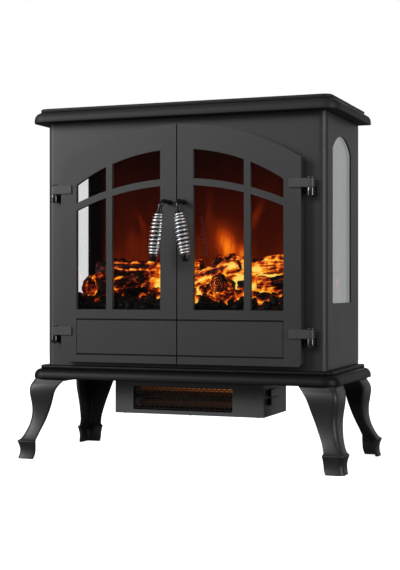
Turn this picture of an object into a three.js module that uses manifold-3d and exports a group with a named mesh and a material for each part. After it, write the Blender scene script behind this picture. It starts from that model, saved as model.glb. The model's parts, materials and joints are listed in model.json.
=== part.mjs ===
// Free-standing electric stove heater: a steel casing on four cabriole legs, with two glazed doors,
// a log-effect firebox, and an infrared fan heater slung under the base.
// Millimetres, +Z up. The front faces -Y. The origin is the centre of the bounding box's underside.
import * as THREE from "three";
import { mergeVertices } from "three/addons/utils/BufferGeometryUtils.js";
import Module from "manifold-3d";

const wasm = await Module();
wasm.setup();

// ---------- driving dimensions (y = 0 is the front face of the casing, z = 0 is the floor) ----------
const GAP = 0.3; // clearance between pieces that touch
const SHEET = 1.2; // steel sheet
const CASE = { halfWidth: 260, depth: 225, low: 166.5, high: 601, cornerRadius: 14 };
const MOULDING = { height: 26, cornerRadius: 20 };
const BASE_UNDERSIDE = CASE.low - 24;
const DOOR = { halfWidth: 222, low: 174, shoulder: 523, crown: 587, front: -18, back: -2, seam: 1, lip: 8 };
const DOOR_CORNER = 6; // the round at a door's lower outer corner
const WINDOW = { outer: 191.6, mullionOuter: 133.7, mullionInner: 122, inner: 30.6, low: 267 };
const WINDOW_TOP = { radius: 350, centre: 194.2 }; // arc over the upper panes
const MUNTIN = { upper: 493.8, lower: 482, centre: 0 }; // the curved glazing bar's two arcs
const SIDE_WINDOW = { front: 44, rear: 170, low: 279, spring: 542, crown: 568 };
const HINGE = { x: 237.4, y: -13.8, knuckle: 6.5, pin: 2.4, height: 15, lower: 14, leaf: 2 };
const STRAP_END = 201; // how far the hinge's leaf reaches across the door
const HINGE_CAP = 2.2;
const HINGE_LEVELS = [472.3, 221]; // the undersides of the upper and the lower strap
const HANDLE = { x: 13, z: 453, standoff: 34.2, rod: 4, drop: 103, splay: 15.7 };
const COIL = { turns: 12, high: 431, low: 361, wire: 1.6, endRadius: 6.8, midRadius: 10.8 };
const LEG = { wall: 6, cornerRadius: 10, rearInset: 22 };
const FIREBOX = { low: 256, high: 575, screen: 176, rear: 218 };
const HEATER = { halfWidth: 140, front: 35, rear: 168, low: 81, high: BASE_UNDERSIDE - GAP };
const VENT = { left: -105, right: 83, low: 88, high: 129.5, corner: 3 }; // the heater's front outlet
const CONTROLS_Z = 220;
const ROCKER = { width: 13, height: 20, xs: [-60, -20, 20], tilt: 8 };
const ROCKER_NAMES = ["power", "low_heat", "high_heat"];
const KNOB = { radius: 12, shaft: 3, shaftEnd: 14, xs: [-130, 110], names: ["thermostat", "flame_dimmer"] };
const CATCH = { x: 20, z: 565, radius: 5 };

const FOREMOST = DOOR.front - HANDLE.standoff - COIL.midRadius - COIL.wire;
const LEG_REACH = 41.5; // how far a foot stands out from its casing corner
const REARMOST = CASE.depth - LEG.rearInset + LEG_REACH;
const ORIGIN_Y = (FOREMOST + REARMOST) / 2;

// ---------- colours and finishes ----------
const finish = (color, roughness, metalness) =>
  new THREE.MeshStandardMaterial({ color, roughness, metalness });
const STEEL_BLACK = finish(0x2c2c2e, 0.5, 0.3);
const MOULDED_BLACK = finish(0x19191a, 0.4, 0.1);
const CAST_BLACK = finish(0x1d1d1e, 0.45, 0.3);
const ROD_BLACK = finish(0x0c0c0d, 0.35, 0.5);
const CHROME = finish(0xd8dcdf, 0.15, 1);
const ZINC = finish(0xa8abae, 0.35, 0.9);
const GLASS = finish(0xb9c0c2, 0.05, 0);
const RESIN_LOG = finish(0x7a2a0c, 0.7, 0);
const RESIN_EMBER = finish(0x2a0d06, 0.8, 0);
const SCREEN = finish(0x5a1a06, 0.4, 0);
const PLASTIC = finish(0x111112, 0.4, 0);
const BOARD = finish(0x1d5a33, 0.6, 0);
const QUARTZ = finish(0xc9a27a, 0.2, 0);

// ---------- solids ----------
function solidOf(geometry) {
  const bare = geometry.index ? geometry.toNonIndexed() : geometry.clone();
  bare.deleteAttribute("normal");
  bare.deleteAttribute("uv");
  const merged = mergeVertices(bare, 1e-4);
  const vertProperties = merged.attributes.position.array;
  const triVerts = new Uint32Array(merged.index.array);
  return new wasm.Manifold(new wasm.Mesh({ numProp: 3, vertProperties, triVerts }));
}

function geometryOf(solid) {
  const mesh = solid.getMesh();
  const geometry = new THREE.BufferGeometry();
  const points = new Float32Array(mesh.numVert * 3);
  for (let i = 0; i < mesh.numVert; i++) {
    points.set(mesh.vertProperties.subarray(i * mesh.numProp, i * mesh.numProp + 3), i * 3);
  }
  geometry.setAttribute("position", new THREE.BufferAttribute(points, 3));
  geometry.setIndex(new THREE.BufferAttribute(new Uint32Array(mesh.triVerts), 1));
  return geometry;
}

// A closed ring of [a, b] points as a shape.
const outline = (points) => new THREE.Shape(points.map(([a, b]) => new THREE.Vector2(a, b)));

function extruded(shape, depth, segments = 12) {
  return new THREE.ExtrudeGeometry(shape, { depth, bevelEnabled: false, curveSegments: segments });
}

// A shape drawn in X and Z, filled between two values of Y.
function facing(shape, front, back, segments) {
  return solidOf(extruded(shape, back - front, segments).rotateX(Math.PI / 2).translate(0, back, 0));
}

// A shape drawn in Y and Z, filled between two values of X.
function across(shape, left, right, segments) {
  const turn = new THREE.Matrix4().makeBasis(
    new THREE.Vector3(0, 1, 0),
    new THREE.Vector3(0, 0, 1),
    new THREE.Vector3(1, 0, 0),
  );
  return solidOf(extruded(shape, right - left, segments).applyMatrix4(turn).translate(left, 0, 0));
}

// A shape drawn in X and Y, filled between two values of Z.
function upright(shape, low, high, segments) {
  return solidOf(extruded(shape, high - low, segments).translate(0, 0, low));
}

function block(x0, x1, y0, y1, z0, z1) {
  const box = new THREE.BoxGeometry(x1 - x0, y1 - y0, z1 - z0);
  return solidOf(box.translate((x0 + x1) / 2, (y0 + y1) / 2, (z0 + z1) / 2));
}

// A round bar along X, Y or Z from its low end to its high end.
function bar(axis, radius, low, high, p, q, sides = 16) {
  const rod = new THREE.CylinderGeometry(radius, radius, high - low, sides);
  const middle = (low + high) / 2;
  if (axis === "x") return solidOf(rod.rotateZ(-Math.PI / 2).translate(middle, p, q));
  if (axis === "y") return solidOf(rod.translate(p, middle, q));
  return solidOf(rod.rotateX(Math.PI / 2).translate(p, q, middle));
}

// A closed solid through rings of points that lie above each other.
function lofted(rings) {
  const count = rings[0].length;
  const positions = rings.flat().map((p) => p.toArray()).flat();
  const faces = [];
  for (let level = 0; level + 1 < rings.length; level++) {
    for (let i = 0; i < count; i++) {
      const a = level * count + i;
      const b = level * count + ((i + 1) % count);
      faces.push(a, b, b + count, a, b + count, a + count);
    }
  }
  const flat = (ring) => ring.map((p) => new THREE.Vector2(p.x, p.y));
  const filled = (ring) => THREE.ShapeUtils.triangulateShape(flat(ring), []);
  const last = (rings.length - 1) * count;
  for (const [a, b, c] of filled(rings[0])) faces.push(c, b, a);
  for (const [a, b, c] of filled(rings.at(-1))) faces.push(last + a, last + b, last + c);
  const geometry = new THREE.BufferGeometry();
  geometry.setAttribute("position", new THREE.Float32BufferAttribute(positions, 3));
  geometry.setIndex(faces);
  return solidOf(geometry);
}

// A round section swept along a curve, with flat closed ends.
function swept(curve, radius, sides, steps) {
  const section = new THREE.Shape();
  section.absarc(0, 0, radius, 0, Math.PI * 2);
  const options = { steps, extrudePath: curve, bevelEnabled: false, curveSegments: sides / 2 };
  return solidOf(new THREE.ExtrudeGeometry(section, options));
}

// ---------- the scene graph ----------
const root = new THREE.Group();
root.position.y = -ORIGIN_Y;

function piece(name, solid, material) {
  const mesh = new THREE.Mesh(geometryOf(solid), material);
  mesh.name = name;
  root.add(mesh);
  return mesh;
}

const SIDES = [
  { name: "left", sign: -1 },
  { name: "right", sign: 1 },
];

// Mirrors a solid modelled on the right-hand side to the side that is asked for.
const onSide = (solid, sign) => (sign > 0 ? solid : solid.mirror([1, 0, 0]));

// ---------- mouldings: an ogee edge on three sides, flush at the back ----------
const OGEE = [
  [23.5, 0],
  [23.5, 3.5],
  [22.4, 8],
  [19.4, 13],
  [15, 17],
  [12.6, 18.6],
  [12.2, 21],
  [10.6, 24.6],
  [7.5, 26],
]; // how far the edge stands out from the casing, and its height above the underside

function mouldingRing(offset, z, rear) {
  const x = CASE.halfWidth + offset;
  const y = -offset;
  const r = MOULDING.cornerRadius;
  const points = [];
  const turns = 6;
  for (let i = 0; i <= turns; i++) {
    const angle = -Math.PI / 2 + (i / turns) * (Math.PI / 2);
    points.push(new THREE.Vector3(x - r + r * Math.cos(angle), y + r + r * Math.sin(angle), z));
  }
  points.push(new THREE.Vector3(x, rear, z), new THREE.Vector3(-x, rear, z));
  for (let i = 0; i <= turns; i++) {
    const angle = Math.PI + (i / turns) * (Math.PI / 2);
    points.push(new THREE.Vector3(-x + r + r * Math.cos(angle), y + r + r * Math.sin(angle), z));
  }
  return points;
}

// A pressed shell: the moulding less its own hollow, which opens through the face the casing covers.
function moulding(underside, height, openAbove) {
  const stretch = height / MOULDING.height;
  const low = underside + SHEET;
  const high = underside + height - SHEET;
  const levels = OGEE.map(([offset, rise]) => [offset, underside + rise * stretch]);
  const held = (z) => Math.min(Math.max(z, low), high);
  const body = lofted(levels.map(([offset, z]) => mouldingRing(offset, z, CASE.depth)));
  const inner = levels.map(([offset, z]) => mouldingRing(offset - SHEET, held(z), CASE.depth - SHEET));
  const hollow = lofted(inner);
  const [from, to] = openAbove ? [high - 1, high + 5] : [low - 5, low + 1];
  const edge = CASE.halfWidth - 24;
  return body.subtract(hollow).subtract(block(-edge, edge, 24, CASE.depth - 24, from, to));
}

piece("top_plate", moulding(CASE.high, MOULDING.height, false), MOULDED_BLACK);
piece("base_plate", moulding(BASE_UNDERSIDE, CASE.low - BASE_UNDERSIDE, true), MOULDED_BLACK);

// ---------- casing ----------
const CASE_LOW = CASE.low + GAP;
const CASE_HIGH = CASE.high - GAP;

// The arched opening behind the doors.
function archShape(halfWidth, low, radius, centre) {
  const rise = Math.asin(halfWidth / radius);
  const shape = new THREE.Shape();
  shape.moveTo(halfWidth, low);
  shape.lineTo(halfWidth, centre + radius * Math.cos(rise));
  shape.absarc(0, centre, radius, Math.PI / 2 - rise, Math.PI / 2 + rise, false);
  shape.lineTo(-halfWidth, low);
  shape.closePath();
  return shape;
}

function frontPanel() {
  const r = CASE.cornerRadius;
  const w = CASE.halfWidth;
  const wrap = new THREE.Shape();
  wrap.moveTo(w, r);
  wrap.lineTo(w - SHEET, r);
  wrap.absarc(w - r, r, r - SHEET, 0, -Math.PI / 2, true);
  wrap.lineTo(-w + r, SHEET);
  wrap.absarc(-w + r, r, r - SHEET, -Math.PI / 2, -Math.PI, true);
  wrap.lineTo(-w, r);
  wrap.absarc(-w + r, r, r, Math.PI, Math.PI * 1.5, false);
  wrap.lineTo(w - r, 0);
  wrap.absarc(w - r, r, r, -Math.PI / 2, 0, false);
  let panel = upright(wrap, CASE_LOW, CASE_HIGH, 6);
  const mouth = archShape(WINDOW.outer + 8, 262, WINDOW_TOP.radius + 8, WINDOW_TOP.centre);
  panel = panel.subtract(facing(mouth, -5, 10, 20));
  for (const x of ROCKER.xs) {
    const half = { x: ROCKER.width / 2 + 0.6, z: ROCKER.height / 2 + 0.8 };
    const slot = block(x - half.x, x + half.x, -5, 5, CONTROLS_Z - half.z, CONTROLS_Z + half.z);
    panel = panel.subtract(slot);
  }
  for (const x of KNOB.xs) panel = panel.subtract(bar("y", KNOB.shaft + 0.5, -5, 5, x, CONTROLS_Z));
  for (const x of [-CATCH.x, CATCH.x]) {
    panel = panel.subtract(bar("y", CATCH.radius + 0.5, -5, 5, x, CATCH.z));
  }
  return panel;
}

piece("front_panel", frontPanel(), STEEL_BLACK);

function sideWindowShape(grow) {
  const w = SIDE_WINDOW;
  const middle = (w.front + w.rear) / 2;
  const half = (w.rear - w.front) / 2;
  const rise = w.crown - w.spring;
  const radius = (half * half + rise * rise) / (2 * rise);
  const centre = w.crown - radius;
  const r = radius + grow;
  const turn = Math.asin((half + grow) / r);
  const shape = new THREE.Shape();
  shape.moveTo(w.front - grow, w.low - grow);
  shape.lineTo(w.rear + grow, w.low - grow);
  shape.lineTo(w.rear + grow, centre + r * Math.cos(turn));
  shape.absarc(middle, centre, r, Math.PI / 2 - turn, Math.PI / 2 + turn, false);
  shape.closePath();
  return shape;
}

const SIDE_FRONT = CASE.cornerRadius + GAP;
const SIDE_REAR = CASE.depth - SHEET - GAP;
for (const { name, sign } of SIDES) {
  const outer = CASE.halfWidth;
  const inner = outer - SHEET;
  const sheet = block(inner, outer, SIDE_FRONT, SIDE_REAR, CASE_LOW, CASE_HIGH);
  const hole = across(sideWindowShape(0), inner - 5, outer + 5, 12);
  piece(`${name}_side_panel`, onSide(sheet.subtract(hole), sign), STEEL_BLACK);
  const pane = across(sideWindowShape(5), inner - GAP - 3, inner - GAP, 10);
  piece(`${name}_side_glass`, onSide(pane, sign), GLASS);
}

function backPanel() {
  const w = CASE.halfWidth;
  let panel = block(-w, w, CASE.depth - SHEET, CASE.depth, CASE_LOW, CASE_HIGH);
  for (let row = 0; row < 4; row++) {
    for (const x of [-120, 0, 120]) {
      const z = 195 + row * 14;
      panel = panel.subtract(block(x - 40, x + 40, CASE.depth - 10, CASE.depth + 10, z, z + 5));
    }
  }
  return panel.subtract(bar("y", 7.5, CASE.depth - 10, CASE.depth + 10, 215, 190));
}

piece("back_panel", backPanel(), STEEL_BLACK);

// The gland that the supply cord leaves through: a collar, a neck through the sheet and a lock nut.
function cordGland() {
  const collar = bar("y", 11, CASE.depth + GAP, CASE.depth + 6, 215, 190);
  const neck = bar("y", 7, CASE.depth - SHEET - 7, CASE.depth + 12, 215, 190);
  const nut = bar("y", 11, CASE.depth - SHEET - 5, CASE.depth - SHEET - GAP, 215, 190, 6);
  return collar.add(neck).add(nut).subtract(bar("y", 4, 0, CASE.depth + 40, 215, 190, 12));
}

piece("cord_gland", cordGland(), PLASTIC);

// ---------- cabriole legs: two curved plates that meet at a rounded corner ----------
// Each row holds a height, how far the corner stands out there, and how long the arms of the section are:
// the one along the front or back of the casing, and the one along its side.
const LEG_ROWS = [
  [0, 40.5, 32, 32],
  [16, 38, 33, 33],
  [31, LEG_REACH, 38, 38],
  [32.5, 38, 33, 34],
  [40, 34, 31, 34],
  [52, 28.5, 29, 39],
  [68, 23.6, 31, 47],
  [86, 22, 37, 53],
  [102, 23.2, 44, 57],
  [116, 25.2, 51, 60],
  [130, 24, 57, 61],
  [BASE_UNDERSIDE - GAP, 18.5, 61, 62],
];

function legRing([z, out, arm, sideArm]) {
  const x = CASE.halfWidth + out;
  const y = -out;
  const r = LEG.cornerRadius;
  const points = [new THREE.Vector3(x - arm, y, z)];
  const turns = 4;
  for (let i = 0; i <= turns; i++) {
    const angle = -Math.PI / 2 + (i / turns) * (Math.PI / 2);
    points.push(new THREE.Vector3(x - r + r * Math.cos(angle), y + r + r * Math.sin(angle), z));
  }
  const t = LEG.wall;
  points.push(new THREE.Vector3(x, y + sideArm, z), new THREE.Vector3(x - t, y + sideArm, z));
  points.push(new THREE.Vector3(x - t, y + t + 5, z), new THREE.Vector3(x - t - 5, y + t, z));
  points.push(new THREE.Vector3(x - arm, y + t, z));
  return points;
}

// The leg with the bracket plate that the screws go through, at the front right corner.
const legTop = LEG_ROWS.at(-1)[0];
const bracket = block(CASE.halfWidth - 40, CASE.halfWidth + 15, -15, 40, legTop - 4, legTop);
const leg = lofted(LEG_ROWS.map(legRing)).add(bracket);
for (const { name, sign } of SIDES) {
  piece(`front_${name}_leg`, onSide(leg, sign), CAST_BLACK);
  const rear = leg.mirror([0, 1, 0]).translate([0, CASE.depth - LEG.rearInset, 0]);
  piece(`rear_${name}_leg`, onSide(rear, sign), CAST_BLACK);
}

// ---------- doors: a folded tray with four lights, behind which the glass is clipped ----------
function doorOutline(inset) {
  const half = DOOR.halfWidth;
  const rise = DOOR.crown - DOOR.shoulder;
  const radius = (half * half + rise * rise) / (2 * rise);
  const centre = DOOR.crown - radius;
  const r = radius - inset;
  const edge = half - inset;
  const shape = new THREE.Shape();
  const corner = DOOR_CORNER - inset;
  shape.moveTo(DOOR.seam + inset, DOOR.low + inset);
  shape.lineTo(edge - corner, DOOR.low + inset);
  shape.absarc(edge - corner, DOOR.low + DOOR_CORNER, corner, -Math.PI / 2, 0, false);
  const angle = (x) => Math.PI / 2 - Math.asin(x / r);
  shape.absarc(0, centre, r, angle(edge), angle(DOOR.seam + inset), false);
  shape.closePath();
  return shape;
}

// One light of a door: straight sides, and arcs about the axis of the casing above and below it.
function lightShape(left, right, high, low) {
  const shape = new THREE.Shape();
  const angle = (x, arc) => Math.PI / 2 - Math.asin(x / arc.radius);
  shape.absarc(0, high.centre, high.radius, angle(right, high), angle(left, high), false);
  if (low.radius) shape.absarc(0, low.centre, low.radius, angle(left, low), angle(right, low), true);
  else {
    shape.lineTo(left, low.level);
    shape.lineTo(right, low.level);
  }
  shape.closePath();
  return shape;
}

const MUNTIN_UPPER = { radius: MUNTIN.upper, centre: MUNTIN.centre };
const MUNTIN_LOWER = { radius: MUNTIN.lower, centre: MUNTIN.centre };
const SILL = { level: WINDOW.low };
const LIGHT_SPANS = [
  [WINDOW.inner, WINDOW.mullionInner],
  [WINDOW.mullionOuter, WINDOW.outer],
];

// The upper or lower edge of a light, moved outwards or inwards.
function grown(edge, by) {
  return edge.radius ? { radius: edge.radius + by, centre: edge.centre } : { level: edge.level + by };
}

// The lower panel's border: a shallow line down its outer edge, and a deep pressed one above and below.
const PANEL = { outer: 192, low: 186.6, high: 251, groove: 2, depth: 0.7, line: 3, press: 2.2 };

function doorFrame() {
  let door = facing(doorOutline(0), DOOR.front, DOOR.back, 20);
  door = door.subtract(facing(doorOutline(SHEET), DOOR.front + SHEET, DOOR.back + 5, 20));
  for (const [left, right] of LIGHT_SPANS) {
    for (const [high, low] of [[WINDOW_TOP, MUNTIN_UPPER], [MUNTIN_LOWER, SILL]]) {
      const lip = lightShape(left - SHEET, right + SHEET, grown(high, SHEET), grown(low, -SHEET));
      door = door.add(facing(lip, DOOR.front + SHEET / 2, DOOR.front + DOOR.lip, 6));
    }
  }
  for (const [left, right] of LIGHT_SPANS) {
    for (const [high, low] of [[WINDOW_TOP, MUNTIN_UPPER], [MUNTIN_LOWER, SILL]]) {
      door = door.subtract(facing(lightShape(left, right, high, low), DOOR.front - 5, DOOR.back + 5, 6));
    }
  }
  const face = DOOR.front + PANEL.depth;
  const left = PANEL.outer - PANEL.groove;
  door = door.subtract(block(left, PANEL.outer, DOOR.front - 5, face, PANEL.low, PANEL.high));
  for (const z of [PANEL.low, PANEL.high - PANEL.line]) {
    const floor = DOOR.front + PANEL.press;
    const inner = DOOR.seam + SHEET / 2;
    const above = z + PANEL.line;
    const outer = PANEL.outer + SHEET;
    door = door.add(block(inner, outer, DOOR.front + SHEET / 2, floor + SHEET, z - SHEET, above + SHEET));
    door = door.subtract(block(-10, PANEL.outer, DOOR.front - 5, floor, z, above));
  }
  return door.subtract(bar("y", HANDLE.rod + 0.5, DOOR.front - 5, DOOR.front + 5, HANDLE.x, HANDLE.z));
}

function doorGlass() {
  const grow = 7;
  const high = { radius: WINDOW_TOP.radius + grow, centre: WINDOW_TOP.centre };
  const shape = lightShape(WINDOW.inner - grow, WINDOW.outer + grow, high, { level: WINDOW.low - grow });
  const front = DOOR.front + DOOR.lip + GAP;
  return facing(shape, front, front + 3, 14);
}

class CoilCurve extends THREE.Curve {
  getPoint(t, target = new THREE.Vector3()) {
    const swell = Math.sin(Math.PI * t) ** 0.75;
    const radius = COIL.endRadius + (COIL.midRadius - COIL.endRadius) * swell;
    const angle = t * COIL.turns * Math.PI * 2;
    const z = COIL.low + (COIL.high - COIL.low) * t;
    return target.set(handleX(z) + radius * Math.cos(angle), HANDLE_Y + radius * Math.sin(angle), z);
  }
}

const HANDLE_Y = DOOR.front - HANDLE.standoff;
const HANDLE_LOW = HANDLE.z - HANDLE.drop;

// The handle's rod leans outwards as it comes down.
function handleX(z) {
  return HANDLE.x + 2 + (HANDLE.splay * (HANDLE.z - z)) / HANDLE.drop;
}

function handleRod() {
  const at = (x, y, z) => new THREE.Vector3(x, y, z);
  const bend = 9;
  const path = new THREE.CatmullRomCurve3(
    [
      at(HANDLE.x, DOOR.front + 12, HANDLE.z),
      at(HANDLE.x, DOOR.front - 10, HANDLE.z),
      at(HANDLE.x, HANDLE_Y + bend, HANDLE.z),
      at(HANDLE.x + 1, HANDLE_Y + bend * 0.3, HANDLE.z - bend * 0.3),
      at(handleX(HANDLE.z - bend), HANDLE_Y, HANDLE.z - bend),
      at(handleX(HANDLE.z - 40), HANDLE_Y, HANDLE.z - 40),
      at(handleX(HANDLE_LOW + 4), HANDLE_Y, HANDLE_LOW + 4),
    ],
    false,
    "centripetal",
  );
  return swept(path, HANDLE.rod, 10, 20);
}

// The cap that holds the coil on the rod: a short cylinder bored for the rod's end.
function handleTip() {
  const high = COIL.low - COIL.wire - 1.2;
  const middle = handleX((high + HANDLE_LOW) / 2);
  const cap = bar("z", 6.2, HANDLE_LOW, high, middle, HANDLE_Y, 14);
  return cap.subtract(bar("z", HANDLE.rod + 1.1, HANDLE_LOW + 3, high + 5, middle, HANDLE_Y, 14));
}

// ---------- hinges: a strap on the door turns on a pintle that stands on the casing ----------
function hingeStrap(low) {
  const high = low + HINGE.height;
  const back = DOOR.front - GAP;
  const leaf = block(STRAP_END, HINGE.x, back - HINGE.leaf, back, low, high);
  const knuckle = bar("z", HINGE.knuckle, low, high, HINGE.x, HINGE.y, 20);
  return leaf.add(knuckle).subtract(bar("z", HINGE.pin + 0.3, low - 5, high + 5, HINGE.x, HINGE.y, 14));
}

function hingePintle(strapLow) {
  const high = strapLow - GAP;
  const low = high - HINGE.lower;
  const knuckle = bar("z", HINGE.knuckle, low, high, HINGE.x, HINGE.y, 20);
  const crown = strapLow + HINGE.height + GAP;
  const pin = bar("z", HINGE.pin, low - 1.5, crown + 1, HINGE.x, HINGE.y, 14);
  const cap = bar("z", HINGE.knuckle - GAP, crown, crown + HINGE_CAP, HINGE.x, HINGE.y, 20);
  const web = block(HINGE.x - 3, HINGE.x + 3, HINGE.y, -GAP, low, high);
  const foot = block(HINGE.x - 8, HINGE.x + 8, -GAP - 1.5, -GAP, low, high + 1);
  return knuckle.add(pin).add(cap).add(web).add(foot);
}

const HINGE_NAMES = ["upper", "lower"];
for (const { name, sign } of SIDES) {
  piece(`${name}_door_frame`, onSide(doorFrame(), sign), STEEL_BLACK);
  piece(`${name}_door_glass`, onSide(doorGlass(), sign), GLASS);
  piece(`${name}_handle_rod`, onSide(handleRod(), sign), ROD_BLACK);
  piece(`${name}_handle_coil`, onSide(swept(new CoilCurve(), COIL.wire, 6, COIL.turns * 8), sign), CHROME);
  piece(`${name}_handle_tip`, onSide(handleTip(), sign), ROD_BLACK);
  HINGE_LEVELS.forEach((low, i) => {
    piece(`${name}_${HINGE_NAMES[i]}_hinge_strap`, onSide(hingeStrap(low), sign), ROD_BLACK);
    piece(`${name}_${HINGE_NAMES[i]}_hinge_pintle`, onSide(hingePintle(low), sign), ROD_BLACK);
  });
}

// The catch: a bar inside the front panel, with a magnet for each door that reaches into its tray.
function doorCatch() {
  let body = block(-CATCH.x - 9, CATCH.x + 9, SHEET + GAP, 11, CATCH.z - 6, CATCH.z + 6);
  for (const x of [-CATCH.x, CATCH.x]) {
    body = body.add(bar("y", CATCH.radius, DOOR.front + SHEET + 1, 4, x, CATCH.z, 14));
  }
  return body;
}

piece("door_catch", doorCatch(), PLASTIC);

// ---------- firebox ----------
const SIDE_INSIDE = CASE.halfWidth - SHEET - GAP - 3 - GAP; // inside the side glass

function fireboxLiner() {
  const { low, high, rear } = FIREBOX;
  const front = CASE.cornerRadius + GAP;
  const fold = outline([
    [front, low],
    [rear, low],
    [rear, high],
    [front, high],
    [front, high - SHEET],
    [rear - SHEET, high - SHEET],
    [rear - SHEET, low + SHEET],
    [front, low + SHEET],
  ]);
  return across(fold, -SIDE_INSIDE, SIDE_INSIDE);
}

piece("firebox_liner", fireboxLiner(), STEEL_BLACK);
const FLOOR = FIREBOX.low + SHEET + GAP;
const CEILING = FIREBOX.high - SHEET - GAP;
const screen = block(-SIDE_INSIDE, SIDE_INSIDE, FIREBOX.screen, FIREBOX.screen + 3, FLOOR, CEILING);
piece("flame_screen", screen, SCREEN);

// The ember bed is a thin shell that rises towards the back, with a step that carries the back logs.
function emberBed() {
  const bank = outline([
    [20, FLOOR],
    [168, FLOOR],
    [168, FLOOR + 62],
    [130, FLOOR + 58],
    [112, FLOOR + 34],
    [70, FLOOR + 26],
    [40, FLOOR + 20],
    [20, FLOOR + 14.5],
  ]);
  const under = outline([
    [22.5, FLOOR - 5],
    [165.5, FLOOR - 5],
    [165.5, FLOOR + 59],
    [131.5, FLOOR + 55.5],
    [113.5, FLOOR + 31.5],
    [70.5, FLOOR + 23.5],
    [40.5, FLOOR + 17.5],
    [22.5, FLOOR + 12],
  ]);
  return across(bank, -245, 245).subtract(across(under, -242.5, 242.5));
}

piece("ember_bed", emberBed(), RESIN_EMBER);

// A log is a tapered billet laid between two points.
function log(from, to, radiusFrom, radiusTo) {
  const a = new THREE.Vector3(...from);
  const b = new THREE.Vector3(...to);
  const billet = new THREE.CylinderGeometry(radiusTo, radiusFrom, a.distanceTo(b), 10);
  const along = b.clone().sub(a).normalize();
  billet.applyQuaternion(new THREE.Quaternion().setFromUnitVectors(new THREE.Vector3(0, 1, 0), along));
  const middle = a.clone().add(b).multiplyScalar(0.5);
  return solidOf(billet.translate(middle.x, middle.y, middle.z));
}

const LOGS = {
  log_back_left: log([-212, 148, 339], [-18, 150, 344], 17, 15),
  log_back_right: log([8, 150, 343], [214, 146, 348], 16, 19),
  log_rising: log([-16, 106, 317], [72, 104, 347], 13, 12),
  log_centre: log([46, 54, 312], [57, 92, 308], 14, 12),
  log_dark: log([-176, 84, 309], [-86, 60, 325], 14, 13),
  log_far_left: log([-230, 56, 300], [-198, 100, 332], 11, 10),
  log_right: log([212, 74, 318], [122, 58, 313], 14, 12),
};
for (const [name, billet] of Object.entries(LOGS)) piece(name, billet, RESIN_LOG);

// ---------- the flame effect, behind the screen ----------
const ROTOR = { y: 198, z: 300, left: -218, right: 206, blade: 14 };

function flameRotor() {
  const shaft = bar("x", 2.5, ROTOR.left - 12, ROTOR.right + 8, ROTOR.y, ROTOR.z, 10);
  const blades = [];
  const pitch = 26;
  for (let x = ROTOR.left; x < ROTOR.right - pitch; x += pitch) {
    const turn = ((x - ROTOR.left) / pitch) * 50;
    const blade = block(x, x + pitch - 6, -0.6, 0.6, -ROTOR.blade, ROTOR.blade);
    blades.push(blade.rotate([turn, 0, 0]).translate([0, ROTOR.y, ROTOR.z]));
  }
  return blades.reduce((all, blade) => all.add(blade), shaft);
}

piece("flame_rotor", flameRotor(), CHROME);

function rotorMotor() {
  const can = bar("x", 13, ROTOR.right + 2, ROTOR.right + 30, ROTOR.y, ROTOR.z, 16);
  const foot = block(ROTOR.right + 10, ROTOR.right + 26, ROTOR.y - 9, ROTOR.y + 9, FLOOR, ROTOR.z);
  return can.add(foot).subtract(bar("x", 2.8, 0, ROTOR.right + 12, ROTOR.y, ROTOR.z, 12));
}

piece("rotor_motor", rotorMotor(), ZINC);

function rotorBracket() {
  const x = ROTOR.left - 10;
  const post = block(x, x + 4, ROTOR.y - 8, ROTOR.y + 8, FLOOR, ROTOR.z + 8);
  const foot = block(x - 14, x + 4, ROTOR.y - 8, ROTOR.y + 8, FLOOR, FLOOR + 2);
  return post.add(foot).subtract(bar("x", 2.8, x - 5, x + 10, ROTOR.y, ROTOR.z, 12));
}

piece("rotor_bracket", rotorBracket(), ZINC);

// The board that lights the rotor and, through the screen's foot, the ember bed.
function ledBoard() {
  let board = block(-205, 200, 184, 212, FLOOR, FLOOR + 2);
  for (let x = -190; x <= 190; x += 38) {
    board = board.add(block(x - 3, x + 3, 194, 200, FLOOR + 1, FLOOR + 4));
  }
  return board;
}

piece("led_board", ledBoard(), BOARD);

// ---------- controls, behind the doors ----------
function controlBoard() {
  let board = block(60, 200, 60, 150, 172, 174);
  for (const x of [66, 194]) {
    for (const y of [66, 144]) board = board.add(bar("z", 3, CASE.low + GAP, 173, x, y, 8));
  }
  board = board.add(block(75, 100, 75, 105, 173, 192));
  board = board.add(block(115, 135, 80, 96, 173, 189));
  return board.add(block(150, 185, 110, 140, 173, 196));
}

piece("control_board", controlBoard(), BOARD);

// The bracket behind the front panel, with a cup for each rocker and a body for each knob's shaft.
function controlBracket() {
  const back = 16;
  const middle = CONTROLS_Z;
  const [first, last] = KNOB.xs;
  let bracket = block(first - 18, last + 18, back, back + SHEET, middle - 22, middle + 22);
  for (const x of ROCKER.xs) {
    const half = { x: ROCKER.width / 2 + 2.5, z: ROCKER.height / 2 + 3 };
    const shell = block(x - half.x, x + half.x, SHEET + GAP, back + 1, middle - half.z, middle + half.z);
    bracket = bracket.add(shell);
    const cup = { x: half.x - 1.8, z: half.z - 1.6 };
    bracket = bracket.subtract(block(x - cup.x, x + cup.x, 0, 9, middle - cup.z, middle + cup.z));
  }
  for (const x of KNOB.xs) {
    bracket = bracket.add(bar("y", 8, SHEET + GAP, back + 1, x, middle));
    bracket = bracket.subtract(bar("y", KNOB.shaft + 0.4, 0, KNOB.shaftEnd + 1, x, middle, 12));
  }
  return bracket;
}

piece("control_bracket", controlBracket(), PLASTIC);

ROCKER.xs.forEach((x, i) => {
  const h = ROCKER.height / 2;
  const section = outline([
    [-3.5, -h],
    [-2, 0],
    [-3.5, h],
    [4, h - 1.5],
    [5, 0],
    [4, -h + 1.5],
  ]);
  const cap = across(section, x - ROCKER.width / 2, x + ROCKER.width / 2);
  const set = cap.rotate([ROCKER.tilt, 0, 0]).translate([0, 1, CONTROLS_Z]);
  piece(`${ROCKER_NAMES[i]}_rocker`, set, PLASTIC);
});

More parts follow.
